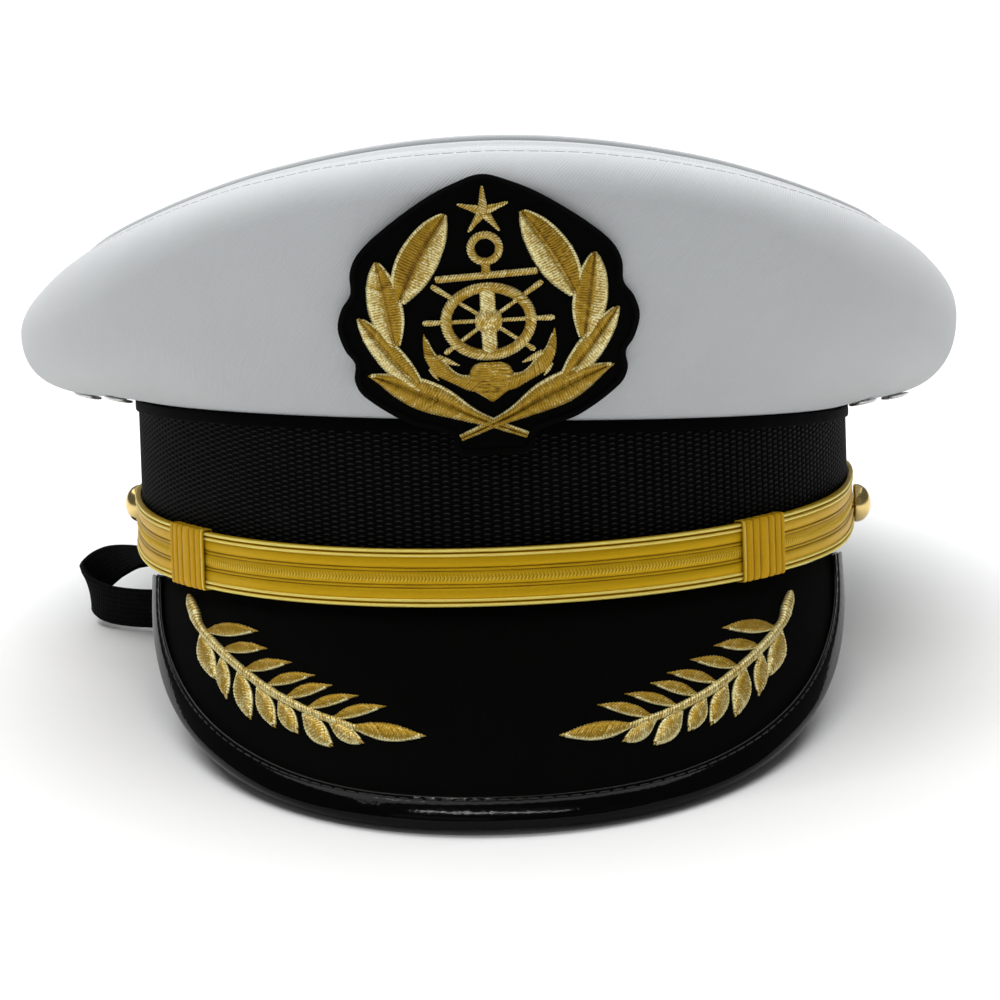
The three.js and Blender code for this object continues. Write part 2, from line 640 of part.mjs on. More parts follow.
function badgeWheel() {
  const { radiusU, radiusV, rim, spoke, shank, hub } = WHEEL;
  const spokeAt = (degrees, from, to) => {
    const [du, dv] = [Math.cos(degToRad(degrees)), Math.sin(degToRad(degrees))];
    return [[-from * du, -from * dv, spoke], [0, 0, spoke], [to * du, to * dv, spoke]];
  };
  return join([
    stroke(onPatch, ringStations([0, 0], radiusU, radiusV, rim, 20), BADGE.lift, true),
    stroke(onPatch, [[0, -radiusV, shank], [0, 0, shank], [0, radiusV, shank]], BADGE.lift + 0.1),
    stroke(onPatch, [[-hub, 0, hub], [-hub / 2, 0, 2 * hub], [hub / 2, 0, 2 * hub], [hub, 0, hub]],
      BADGE.lift + 0.3),
    stroke(onPatch, spokeAt(0, 14.5, 14.5), BADGE.lift),
    stroke(onPatch, spokeAt(35, 11.3, 14.8), BADGE.lift),
    stroke(onPatch, spokeAt(-35, 14.8, 11.3), BADGE.lift),
  ]);
}

function badgeAnchorArms() {
  const bow = [...mirrored(ANCHOR_ARM.slice(1), -1).toReversed(), ...ANCHOR_ARM];
  return join([bow, ANCHOR_BARB, mirrored(ANCHOR_BARB, -1)].map((stations) => (
    stroke(onPatch, stations, BADGE.lift))));
}

function badgeWreath() {
  const half = [WREATH_STEM, ...WREATH_LEAVES.map(({ from, to, width }) => leaf(from, to, width))];
  return join([-1, 1].flatMap((side) => half.map((stations) => (
    stroke(onPatch, mirrored(stations, side), BADGE.lift)))));
}

// ---------------------------------------------------------------------------------------------------
// Chin elastic: sewn inside the band at both ends, laid across the floor under the opening
// ---------------------------------------------------------------------------------------------------

function elasticStrap() {
  const middle = new THREE.CatmullRomCurve3(ELASTIC_ROUTE.map(({ at }) => vec(...at)));
  const sideways = new THREE.CatmullRomCurve3(ELASTIC_ROUTE.map(({ across }) => vec(...across)));
  return sweep(shares(ELASTIC.steps).map((share) => {
    const [at, along] = [middle.getPoint(share), middle.getTangent(share)];
    const across = sideways.getPoint(share);
    across.addScaledVector(along, -across.dot(along)).setLength(ELASTIC.width / 2);
    const face = along.clone().cross(across).setLength(ELASTIC.thick / 2);
    return [[1, 1], [-1, 1], [-1, -1], [1, -1]].map(([wide, thick]) => (
      at.clone().addScaledVector(across, wide).addScaledVector(face, thick)));
  }));
}

// ---------------------------------------------------------------------------------------------------
// The cap, put together
// ---------------------------------------------------------------------------------------------------

function piece(name, geometry, finish) {
  const mesh = new THREE.Mesh(geometry, new THREE.MeshStandardMaterial(FINISHES[finish]));
  mesh.name = name;
  return mesh;
}

const cap = new THREE.Group();
const binding = peakBinding();

cap.add(
  piece('crown_top', crownTop(), 'whiteTwill'),
  piece('crown_side', crownSide(), 'whiteTwill'),
  piece('crown_welt', crownWelt(), 'whiteTwill'),
  ...EYELETS.map((place) => piece(place.name, eyelet(place), 'silverMetal')),
  piece('band', band(), 'blackWebbing'),
  piece('band_edging', bandEdging(), 'blackWebbing'),
  piece('chin_strap', chinStrap(), 'goldBraid'),
  ...KEEPERS.map((place) => piece(place.name, keeper(place), 'goldBraid')),
  ...BUTTONS.map((place) => piece(place.name, button(place), 'goldMetal')),
  piece('peak_board', peakBoard(), 'blackFelt'),
  piece('peak_binding', binding, 'glossBinding'),
  piece('peak_spray_right', peakSpray(-1), 'goldThread'),
  piece('peak_spray_left', peakSpray(1), 'goldThread'),
  piece('badge_patch', badgePatch(), 'blackFelt'),
  piece('badge_star', badgeStar(), 'goldThread'),
  piece('badge_anchor_head', badgeAnchorHead(), 'goldThread'),
  piece('badge_wheel', badgeWheel(), 'goldThread'),
  piece('badge_anchor_arms', badgeAnchorArms(), 'goldThread'),
  piece('badge_wreath', badgeWreath(), 'goldThread'),
);

/** How far the cap leans back when its peak and the back of its band both touch the floor. */
function restingLean() {
  const [backY, backZ] = [OVAL.halfDepth, BAND.frontDip];
  const corners = binding.attributes.position;
  return Math.max(...range(corners.count).map((i) => (
    Math.atan2(backZ - corners.getZ(i), backY - corners.getY(i)))));
}

const lean = restingLean();
cap.rotation.x = -lean;
cap.position.z = OVAL.halfDepth * Math.sin(lean) - BAND.frontDip * Math.cos(lean);

// The origin goes to the floor, under the middle of the cap's bounding box.
const standing = new THREE.Group();
standing.add(cap, piece('elastic_strap', elasticStrap(), 'blackWebbing'));
const bounds = new THREE.Box3().setFromObject(standing, true);
const middle = bounds.getCenter(vec(0, 0, 0));
standing.position.set(-middle.x, -middle.y, -bounds.min.z);

const hat = new THREE.Group();
hat.add(standing);

export default hat;
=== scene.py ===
"""A captain's peaked cap standing on a pale floor, on its peak and on the back of its band.

Sizes are in millimetres and angles in degrees unless a name says otherwise. Shapes are worked out in the
cap's own frame, whose origin is in the middle of the band's oval at its lowest edge, with the front towards
-Y and the wearer's left towards +X. CapFrame.stand then leans them back onto the floor, in metres.
"""

import logging
import math
from collections.abc import Callable, Sequence
from dataclasses import dataclass, replace
from enum import Enum

import bmesh
import bpy
import numpy as np
from mathutils import Matrix, Vector


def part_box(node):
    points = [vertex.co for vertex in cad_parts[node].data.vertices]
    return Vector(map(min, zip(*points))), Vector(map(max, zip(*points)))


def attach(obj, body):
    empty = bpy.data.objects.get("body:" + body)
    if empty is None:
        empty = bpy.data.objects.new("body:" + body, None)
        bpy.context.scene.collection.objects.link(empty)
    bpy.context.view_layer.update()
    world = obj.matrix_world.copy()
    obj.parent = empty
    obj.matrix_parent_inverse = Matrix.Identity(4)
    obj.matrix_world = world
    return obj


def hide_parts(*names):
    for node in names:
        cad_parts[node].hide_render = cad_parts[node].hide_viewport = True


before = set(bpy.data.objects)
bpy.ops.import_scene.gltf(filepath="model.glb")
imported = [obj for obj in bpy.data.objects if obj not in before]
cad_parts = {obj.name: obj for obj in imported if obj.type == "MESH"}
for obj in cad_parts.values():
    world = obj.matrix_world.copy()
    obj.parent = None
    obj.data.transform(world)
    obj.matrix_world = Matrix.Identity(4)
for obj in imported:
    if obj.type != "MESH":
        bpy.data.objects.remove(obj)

Array = np.ndarray
Triple = tuple[float, float, float]
Colour = Triple
Pair = tuple[float, float]
Rows = Sequence[Sequence[float]]
Material = bpy.types.Material
Socket = bpy.types.NodeSocket
Settings = dict[str, object]
Sockets = dict[int | str, object]
Surface = Callable[[Array, Array, Array], Array]

LOG = logging.getLogger("captain_cap")
MM = 0.001
UP = np.array([0.0, 0.0, 1.0])


# --- Lines and numbers ---


def unit(vectors: Array) -> Array:
    """Vectors brought to length 1."""
    return vectors / np.linalg.norm(vectors, axis=-1, keepdims=True)


def spread(*values: Array) -> list[Array]:
    """Numbers and arrays brought to one shape."""
    return np.broadcast_arrays(*(np.asarray(value, float) for value in values))


def sine_cosine(angle: float) -> Pair:
    """Sine and cosine of an angle."""
    return math.sin(math.radians(angle)), math.cos(math.radians(angle))


def signed_power(value: Array, power: float) -> Array:
    """Size raised to a power, with the sign kept."""
    return np.sign(value) * np.abs(value) ** power


def bell(value: Array, middle: Array, reach: float, power: int = 2) -> Array:
    """A soft hump of height 1, flatter on top for a higher power."""
    return np.exp(-(((value - middle) / reach) ** power))


def smooth_step(low: float, high: float, value: Array) -> Array:
    """A soft step from 0 below low to 1 above high."""
    t = np.clip((value - low) / (high - low), 0.0, 1.0)
    return t * t * (3 - 2 * t)


def cubic(t: Array, first: Array, second: Array, end: Array) -> Array:
    """A cubic curve from 0 to its end, pulled by two handles."""
    return 3 * (1 - t) ** 2 * t * first + 3 * (1 - t) * t**2 * second + t**3 * end


def gaps(points: Array) -> Array:
    """Distances between neighbours on a line."""
    return np.linalg.norm(np.diff(points, axis=0), axis=1)


def running(steps: Array) -> Array:
    """Sum of the steps before each point, from 0 at the first."""
    return np.concatenate([[0.0], np.cumsum(steps)])


def at_lengths(rows: Array, length: Array, wanted: Array) -> Array:
    """Rows at wanted lengths along a line, between rows whose lengths are known."""
    return np.stack([np.interp(wanted, length, column) for column in rows.T], axis=1)


def ahead_of(path: Array, closed: bool = False) -> Array:
    """Steps along a path at each of its points."""
    if closed:
        return np.roll(path, -1, axis=0) - np.roll(path, 1, axis=0)
    return np.gradient(path, axis=0)


def hermite(places: Sequence[float], values: Array, wanted: Array) -> Array:
    """Smooth values between the rows of a table.

    Args:
        places: Where the rows are, in growing order.
        values: One row of values for each place.
        wanted: Where values are wanted.

    Returns:
        One row of values for each wanted place.
    """
    places, values = np.asarray(places, float), np.asarray(values, float)
    slopes = np.empty_like(values)
    slopes[1:-1] = (values[2:] - values[:-2]) / (places[2:] - places[:-2])[:, None]
    slopes[0] = (values[1] - values[0]) / (places[1] - places[0])
    slopes[-1] = (values[-1] - values[-2]) / (places[-1] - places[-2])
    row = np.clip(np.searchsorted(places, wanted, side="right") - 1, 0, len(places) - 2)
    span = (places[row + 1] - places[row])[:, None]
    t = (np.asarray(wanted, float)[:, None] - places[row][:, None]) / span
    return ((2 * t**3 - 3 * t**2 + 1) * values[row] + (t**3 - 2 * t**2 + t) * span * slopes[row]
            + (3 * t**2 - 2 * t**3) * values[row + 1] + (t**3 - t**2) * span * slopes[row + 1])


def smooth_line(stations: Rows, step: float, closed: bool = False) -> Array:
    """An evenly spaced smooth line through stations.

    Args:
        stations: Rows whose first two values are a place; further values go along.
        step: Distance between neighbours on the line, rounded to fit.
        closed: Whether the line comes back to its first station.

    Returns:
        The rows of the line, without a second copy of its first row when it is closed.
    """
    rows = np.asarray(stations, float)
    if closed:
        rows = np.concatenate([rows[-3:], rows, rows[:4]])
    places = running(np.sqrt(gaps(rows[:, :2])) + 1e-9)
    low, high = (places[3], places[-4]) if closed else (places[0], places[-1])
    fine = hermite(places, rows, np.linspace(low, high, 50 * len(rows)))
    length = running(gaps(fine[:, :2]))
    even = np.linspace(0.0, length[-1], max(3, round(length[-1] / step)) + 1)
    return at_lengths(fine, length, even[:-1] if closed else even)


# --- The cap's frame and the oval round the head ---


@dataclass(frozen=True)
class CapFrame:
    """How the cap's own frame leans on the floor."""

    lean: float = 12.5237
    forward: float = 1.5981
    raised: float = 17.3454

    @property
    def origin(self) -> Array:
        """Where the cap's origin is on the floor's frame."""
        return np.array([0.0, self.forward, self.raised])

    def turn(self, directions: Array, back: int = 1) -> Array:
        """Lean directions of the cap's frame onto the floor's, or the other way where back is -1."""
        sine, cosine = sine_cosine(back * self.lean)
        x, y, z = np.moveaxis(np.asarray(directions, float), -1, 0)
        return np.stack([x, y * cosine + z * sine, z * cosine - y * sine], axis=-1)

    def stand(self, points: Array) -> Array:
        """Put points of the cap's frame on the floor, in metres."""
        return (self.turn(points) + self.origin) * MM

    def unstand(self, points: Array) -> Array:
        """Take places on the floor's frame, still in millimetres, back to the cap's frame."""
        return self.turn(points - self.origin, -1)


@dataclass(frozen=True)
class Head:
    """The oval round the head. Angles go from the front towards the wearer's left."""

    half_width: float = 87.0
    half_depth: float = 102.5

    def normal(self, angle: Array) -> Array:
        """The level outward direction at each angle."""
        turn = np.radians(angle)
        out = [np.sin(turn) / self.half_width, -np.cos(turn) / self.half_depth, 0 * turn]
        return unit(np.stack(out, axis=-1))

    def point(self, angle: Array, out: Array, height: Array) -> Array:
        """Places at a distance outside the oval and at a height.

        Args:
            angle: Direction from the middle of the head.
            out: Distance outside the oval, along its normal.
            height: Height over the band's lowest edge.

        Returns:
            The places, in the cap's frame.
        """
        angle, out, height = spread(angle, out, height)
        turn = np.radians(angle)
        rim = np.stack([self.half_width * np.sin(turn), -self.half_depth * np.cos(turn), height], axis=-1)
        return rim + self.normal(angle) * out[..., None]

    def along(self, start: float, end: float, step: float) -> tuple[Array, Array]:
        """Angles a fixed length apart along the oval.

        Args:
            start: First angle.
            end: Last angle.
            step: Length between two neighbours, rounded to fit.

        Returns:
            The angles, and the length from the first one to each.
        """
        fine = np.linspace(start, end, 4001)
        length = running(gaps(self.point(fine, 0.0, 0.0)))
        even = np.linspace(0.0, length[-1], max(2, round(length[-1] / step)) + 1)
        return np.interp(even, length, fine), even

    def around(self, step: float) -> Array:
        """Angles once round the head, that length apart."""
        return self.along(-180, 180, step)[0][:-1]


@dataclass(frozen=True)
class BandEdges:
    """Heights of the band's edges round the head."""

    height: float = 41.1
    front_dip: float = 5.0
    skew: float = 0.041

    def bottom(self, angle: Array) -> Array:
        """Height of the lower edge, which dips at the front, where the peak is sewn on."""
        turn = np.radians(angle)
        return self.front_dip * np.where(np.cos(turn) > 0, np.sin(turn) ** 2, 1.0)

    def top(self, angle: Array) -> Array:
        """Height of the upper edge, a little lower towards the wearer's left."""
        return self.height - self.skew * HEAD.point(angle, 0.0, 0.0)[..., 0]


CAP = CapFrame()
HEAD = Head()
EDGES = BandEdges()


# --- Mesh work ---


class Joined(Enum):
    """Which edges of a woven grid meet."""

    ROUND = (True, False)
    SECTION = (False, True)
    BOTH = (True, True)


class Workpiece:
    """One mesh in the making, put together from grids, tubes and turned parts."""

    def __init__(self, name: str) -> None:
        """Start an empty mesh with a UV map in metres and a tone on each point."""
        self.name = name
        self.mesh = bmesh.new()
        self.uv = self.mesh.loops.layers.uv.new("UVMap")
        self.tone = self.mesh.verts.layers.float.new("tone")

    def grid(self, points: Array, joined: Joined, tone: Array | float = 0.0, finish: int = 0,
             finishes: Sequence[int] = ()) -> None:
        """Add a grid laid through points.

        Args:
            points: Places in the cap's frame, by column, by row.
            joined: Which of its edges meet.
            tone: How light each point's thread is painted, from 0 to 1, painted highlight and shade
                included.
            finish: Material slot of its faces.
            finishes: Material slot of the faces of each row, where they differ.
        """
        placed = CAP.stand(points)
        tone = np.broadcast_to(np.asarray(tone, float), placed.shape[:2])
        for axis, meets in enumerate(joined.value):
            if meets:
                placed = np.concatenate([placed, np.take(placed, [0], axis)], axis)
                tone = np.concatenate([tone, np.take(tone, [0], axis)], axis)
        columns, rows = tone.shape
        width = running(np.linalg.norm(np.diff(placed, axis=0), axis=2).mean(axis=1))
        steps = np.linalg.norm(np.diff(placed, axis=1), axis=2)
        height = np.concatenate([np.zeros((columns, 1)), np.cumsum(steps, axis=1)], axis=1)
        made = bmesh.ops.create_grid(self.mesh, x_segments=columns - 1, y_segments=rows - 1, size=0.5)
        cells = {}
        for vert in made["verts"]:
            cell = (round((vert.co.x + 0.5) * (columns - 1)), round((vert.co.y + 0.5) * (rows - 1)))
            cells[vert] = cell
            vert.co = placed[cell]
            vert[self.tone] = tone[cell]
        for face in {face for vert in cells for face in vert.link_faces}:
            for loop in face.loops:
                column, row = cells[loop.vert]
                loop[self.uv].uv = (width[column], height[column, row])
            lowest = min(cells[vert][1] for vert in face.verts)
            face.material_index = finishes[lowest] if finishes else finish
        edge = [vert for vert, (column, row) in cells.items()
                if column in (0, columns - 1) or row in (0, rows - 1)]
        bmesh.ops.remove_doubles(self.mesh, verts=edge, dist=2e-7)

    def tube(self, path: Array, facing: Array, radius: Array | float, sides: int, closed: bool,
             flat: float = 1.0, finish: int = 0) -> None:
        """Add a round cord along a path.

        Args:
            path: Its middle line, in the cap's frame.
            facing: Direction that counts as up at each place.
            radius: Its radius at each place.
            sides: Number of its sides.
            closed: Whether it comes back to its start.
            flat: How thick it is in the facing direction, for a width of 1.
            finish: Material slot.
        """
        ahead = unit(ahead_of(path, closed))
        side = unit(np.cross(ahead, facing))
        up = np.cross(side, ahead)
        turn = np.linspace(0.0, 2 * np.pi, sides, endpoint=False)[None, :, None]
        ring = np.cos(turn) * side[:, None] + flat * np.sin(turn) * up[:, None]
        radius = np.broadcast_to(np.asarray(radius, float), len(path))[:, None, None]
        self.grid(path[:, None] + radius * ring, Joined.BOTH if closed else Joined.SECTION, finish=finish)

    def stitches(self, path: Array, facing: Array, pitch: float, radius: float, closed: bool = False,
                 finish: int = 0, gap: float = 0.22) -> None:
        """Add a row of stitches, one thread that dips under the surface between them.

        Args:
            path: Where the seam runs on the surface.
            facing: Direction out of the surface at each place.
            pitch: Length of one stitch with its gap.
            radius: Radius of the thread.
            closed: Whether the seam comes back to its start.
            finish: Material slot.
            gap: Share of the pitch that is under the surface.
        """
        rows = np.concatenate([path, facing], axis=1)
        if closed:
            rows = np.concatenate([rows, rows[:1]])
        length = running(gaps(rows[:, :3]))
        count = round(length[-1] / pitch)
        samples = np.arange(count * 7 + (0 if closed else 1)) / 7
        even = at_lengths(rows, length, samples * length[-1] / count)
        shown = 1 - smooth_step(1 - 2 * gap, 1.0, np.abs(2 * (samples % 1.0) - 1))
        out = unit(even[:, 3:])
        middle = even[:, :3] + out * (radius * (1.3 * shown - 0.9))[:, None]
        self.tube(middle, out, radius * (0.25 + 0.75 * shown), 6, closed, 0.8, finish)

    def turned(self, profile: Rows, steps: int, place: Array, axis: Array, finish: int = 0) -> None:
        """Add a turned part.

        Args:
            profile: Radius and height of its outline.
            steps: Number of steps round.
            place: Where height 0 is, in the cap's frame.
            axis: Direction in which its height grows.
            finish: Material slot.
        """
        lathe = bmesh.new()
        corners = [lathe.verts.new((radius * MM, 0.0, height * MM)) for radius, height in profile]
        edges = [lathe.edges.new(pair) for pair in zip(corners, corners[1:])]
        bmesh.ops.spin(lathe, geom=corners + edges, cent=(0, 0, 0), axis=(0, 0, 1), dvec=(0, 0, 0),
                       angle=2 * math.pi, steps=steps, use_merge=True)
        bmesh.ops.remove_doubles(lathe, verts=lathe.verts, dist=1e-7)
        bmesh.ops.recalc_face_normals(lathe, faces=lathe.faces)
        turn = Vector((0, 0, 1)).rotation_difference(Vector(CAP.turn(axis))).to_matrix().to_4x4()
        shift = Matrix.Translation(Vector(CAP.stand(place)))
        bmesh.ops.transform(lathe, matrix=shift @ turn, verts=lathe.verts)
        for face in lathe.faces:
            face.material_index = finish
        scratch = bpy.data.meshes.new("turned")
        lathe.to_mesh(scratch)
        lathe.free()
        self.mesh.from_mesh(scratch)
        bpy.data.meshes.remove(scratch)

    def close(self) -> None:
        """Fill the open ends."""
        ends = [edge for edge in self.mesh.edges if edge.is_boundary]
        bmesh.ops.holes_fill(self.mesh, edges=ends, sides=0)

    def finished(self, materials: Sequence[Material], node: str = "",
                 sharp: float = 60.0) -> bpy.types.Object:
        """Turn the mesh into a piece that stands at the origin.

        Args:
            materials: Its material slots.
            node: The CAD node that it stands for, if it does.
            sharp: Edges that bend more than this stay sharp.

        Returns:
            The piece.
        """
        bmesh.ops.recalc_face_normals(self.mesh, faces=self.mesh.faces)
        mesh = bpy.data.meshes.new(self.name)
        self.mesh.to_mesh(mesh)
        self.mesh.free()
        mesh.polygons.foreach_set("use_smooth", [True] * len(mesh.polygons))
        mesh.set_sharp_from_angle(angle=math.radians(sharp))
        for material in materials:
            mesh.materials.append(material)
        piece = bpy.data.objects.new(self.name, mesh)
        bpy.context.scene.collection.objects.link(piece)
        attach(piece, "root")
        if node:
            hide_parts(node)
        LOG.info("%s: %d faces", self.name, len(mesh.polygons))
        return piece


# --- Finishes ---

Value = "Signal | float"


class Signal:
    """A shader socket that takes part in sums."""

    def __init__(self, dyer: "Dyer", socket: Socket) -> None:
        """Wrap a socket of one material."""
        self.dyer = dyer
        self.socket = socket

    def __add__(self, other: Value) -> "Signal":
        """Sum."""
        return self.dyer.maths("ADD", self, other)

    __radd__ = __add__

    def __sub__(self, other: Value) -> "Signal":
        """Difference."""
        return self.dyer.maths("SUBTRACT", self, other)

    def __rsub__(self, other: Value) -> "Signal":
        """Difference, the other way round."""
        return self.dyer.maths("SUBTRACT", other, self)

    def __mul__(self, other: Value) -> "Signal":
        """Product."""
        return self.dyer.maths("MULTIPLY", self, other)

    __rmul__ = __mul__

    def __truediv__(self, other: Value) -> "Signal":
        """Quotient."""
        return self.dyer.maths("DIVIDE", self, other)

    def __pow__(self, other: Value) -> "Signal":
        """Power."""
        return self.dyer.maths("POWER", self, other)

    def __abs__(self) -> "Signal":
        """Size without sign."""
        return self.dyer.maths("ABSOLUTE", self)

    def wave(self) -> "Signal":
        """A smooth wave from 0 to 1 that repeats at each whole number."""
        return self.dyer.maths("COSINE", self * (2 * math.pi)) * -0.5 + 0.5

    def part(self) -> "Signal":
        """What is left over a whole number."""
        return self.dyer.maths("FRACT", self)

    def odd(self) -> "Signal":
        """1 where the whole number below is odd, else 0."""
        return (self.dyer.maths("FLOOR", self) * 0.5).part() * 2.0

    def limit(self) -> "Signal":
        """The value kept between 0 and 1."""
        return self.dyer.maths("ADD", self, 0.0, clamp=True)

    def step(self, low: float, high: float) -> "Signal":
        """A soft step from 0 at low to 1 at high, which may be the lower number."""
        return self.dyer.signal("ShaderNodeMapRange", {"interpolation_type": "SMOOTHSTEP"},
                                {0: self, 1: low, 2: high, 3: 0.0, 4: 1.0})


class Dyer:
    """Builds the nodes of one material."""

    def __init__(self, name: str) -> None:
        """Start a material without nodes."""
        self.material = bpy.data.materials.new(name)
        self.material.use_nodes = True
        self.tree = self.material.node_tree
        self.tree.nodes.clear()

    def node(self, kind: str, settings: Settings | None = None,
             sockets: Sockets | None = None) -> bpy.types.Node:
        """Add a node.

        Args:
            kind: The node's type.
            settings: Its properties.
            sockets: Values or links of its inputs, by name or number.

        Returns:
            The node.
        """
        node = self.tree.nodes.new(kind)
        for name, value in (settings or {}).items():
            setattr(node, name, value)
        for name, value in (sockets or {}).items():
            entry = node.inputs[name]
            link = value.socket if isinstance(value, Signal) else value
            if isinstance(link, Socket):
                self.tree.links.new(link, entry)
            else:
                entry.default_value = (*value, 1.0) if entry.type == "RGBA" else value
        return node

    def signal(self, kind: str, settings: Settings | None = None, sockets: Sockets | None = None,
               output: int | str = 0) -> Signal:
        """Add a node and take one of its outputs.

        Args:
            kind: The node's type.
            settings: Its properties.
            sockets: Values or links of its inputs.
            output: Name or number of the output.

        Returns:
            The output, ready for sums.
        """
        return Signal(self, self.node(kind, settings, sockets).outputs[output])

    def maths(self, operation: str, *values: Value, clamp: bool = False) -> Signal:
        """Add a Math node with that operation."""
        settings = {"operation": operation, "use_clamp": clamp}
        return self.signal("ShaderNodeMath", settings, dict(enumerate(values)))

    def place(self, on_uv: bool = False) -> Socket:
        """Where a point is on the piece's own UV map, or in space."""
        node = self.node("ShaderNodeUVMap" if on_uv else "ShaderNodeTexCoord")
        return node.outputs["UV" if on_uv else "Object"]

    def threads(self) -> tuple[Signal, Signal]:
        """The piece's own UV map, in millimetres round and along it."""
        split = self.node("ShaderNodeSeparateXYZ", None, {0: self.place(on_uv=True)})
        return Signal(self, split.outputs[0]) * 1000.0, Signal(self, split.outputs[1]) * 1000.0

    def tone(self) -> Signal:
        """The lightness painted on the piece's points, painted highlight and shade among it."""
        return self.signal("ShaderNodeAttribute", {"attribute_name": "tone"}, None, "Fac")

    def noise(self, size: float, detail: float = 3.0, roughness: float = 0.55,
              stretch: Triple = (1.0, 1.0, 1.0), on_uv: bool = False) -> Signal:
        """A soft irregular pattern.

        Args:
            size: Size of its largest spots, in millimetres.
            detail: Number of finer layers.
            roughness: Weight of the finer layers.
            stretch: How many times denser it is along each axis.
            on_uv: Whether it follows the piece's own UV map instead of space.

        Returns:
            Values about 0.5.
        """
        scaled = self.node("ShaderNodeMapping", None, {"Vector": self.place(on_uv), "Scale": stretch})
        return self.signal("ShaderNodeTexNoise", {"noise_dimensions": "3D"}, {
            "Vector": scaled.outputs[0], "Scale": 1000.0 / size, "Detail": detail, "Roughness": roughness})

    def mix(self, share: Value, low: object, high: object) -> Socket:
        """Mix two colours, or links to them: a share of 0 gives the first and 1 the second."""
        return self.node("ShaderNodeMix", {"data_type": "RGBA"}, {0: share, 6: low, 7: high}).outputs[2]

    def bump(self, height: Signal, millimetres: float) -> Socket:
        """A normal for a height from 0 to 1, where 1 is that many millimetres."""
        return self.node("ShaderNodeBump", None, {"Height": height, "Distance": millimetres * MM}).outputs[0]

    def finish(self, colour: Socket, roughness: Value, normal: Socket | None = None,
               **constants: float) -> Material:
        """Put the surface together.

        Args:
            colour: Base colour.
            roughness: Roughness.
            normal: Bumped normal.
            constants: Other sockets of the shader, with spaces written as underscores.

        Returns:
            The material.
        """
        sockets = {name.replace("_", " "): value for name, value in constants.items()}
        sockets |= {"Base Color": colour, "Roughness": roughness}
        if normal is not None:
            sockets["Normal"] = normal
        shader = self.node("ShaderNodeBsdfPrincipled", None, sockets)
        self.node("ShaderNodeOutputMaterial", None, {0: shader.outputs[0]})
        return self.material


def dimmed(colour: Colour, share: float) -> Colour:
    """A colour made that much darker."""
    return tuple(share * part for part in colour)


@dataclass(frozen=True)
class Twill:
    """White cotton twill with fine slanting ribs."""

    # Colours between which the cloth's painted shade in the weave and its random tone are mixed.
    high: Colour = (0.63, 0.65, 0.66)
    low: Colour = (0.52, 0.54, 0.55)
    rib: float = 0.62
    steep: float = 48.0
    relief: float = 0.07

    def material(self) -> Material:
        """Make the material."""
        dyer = Dyer("white_twill")
        across, along = dyer.threads()
        sine, cosine = sine_cosine(self.steep)
        ribs = ((across * sine - along * cosine) / self.rib).wave()
        picks = ((across * cosine + along * sine) / (self.rib * 0.62)).wave()
        weave = ribs * 0.75 + picks * 0.25
        cloud = dyer.noise(26.0)
        fuzz = dyer.noise(0.5, 2.0)
        # Painted shade: the weave's ribs are painted lighter and its valleys darker; cloud and fuzz add
        # random tone.
        shade = (weave * 0.6 + cloud * 0.3 + fuzz * 0.2 - 0.05).limit()
        return dyer.finish(dyer.mix(shade, self.low, self.high), 0.82 + fuzz * 0.12,
                           dyer.bump(weave * 0.8 + fuzz * 0.2, self.relief), Sheen_Weight=0.25,
                           Sheen_Roughness=0.5, Specular_IOR_Level=0.3)


@dataclass(frozen=True)
class Webbing:
    """Black ribbed webbing: upright ribs of short level picks, shifted from rib to rib, each pick with a
    painted highlight.
    """

    rib: float = 2.25
    pick: float = 1.2
    yarn: float = 0.28
    relief: float = 0.3
    # Near-black colour of the painted shade between the picks, and lighter colour of the painted highlight
    # on their tops.
    low: Colour = (0.0012, 0.0012, 0.0012)
    high: Colour = (0.03, 0.03, 0.029)

    def material(self) -> Material:
        """Make the material."""
        dyer = Dyer("black_webbing")
        across, along = dyer.threads()
        rib = across / self.rib
        inside = abs(rib.part() - 0.5) * 2.0
        pick = (along / self.pick + rib.odd() * 0.5 + inside * inside * 0.32).wave()
        mound = pick ** 1.5 * (1.0 - inside ** 3.0)
        yarn = (across / self.yarn).wave()
        cloud = dyer.noise(9.0, 2.0)
        # Painted highlight on the top of each mound, painted shade near black around it; yarn stripes and
        # cloud are the webbing's own tone.
        shade = (mound ** 4.0 * 1.05 + yarn * 0.04 + cloud * 0.16 - 0.1).limit()
        return dyer.finish(dyer.mix(shade, self.low, self.high), 0.72 - mound * 0.12,
                           dyer.bump(mound + yarn * 0.06, self.relief), Specular_IOR_Level=0.03)


@dataclass(frozen=True)
class Felt:
    """Black wool felt."""

    relief: float = 0.09
    low: Colour = (0.0005, 0.0005, 0.0005)
    high: Colour = (0.0022, 0.0021, 0.0019)

    def material(self) -> Material:
        """Make the material."""
        dyer = Dyer("black_felt")
        nap = dyer.noise(0.9, 4.0, 0.7)
        fibres = dyer.noise(0.35, 2.0, 0.6, (1.0, 0.35, 0.5))
        cloud = dyer.noise(18.0, 2.0)
        shade = (nap * 0.7 + fibres * 0.5 + cloud * 0.4 - 0.35).limit()
        return dyer.finish(dyer.mix(shade, self.low, self.high), 0.9 + nap * 0.1,
                           dyer.bump(nap * 0.6 + fibres * 0.4, self.relief), Specular_IOR_Level=0.05)


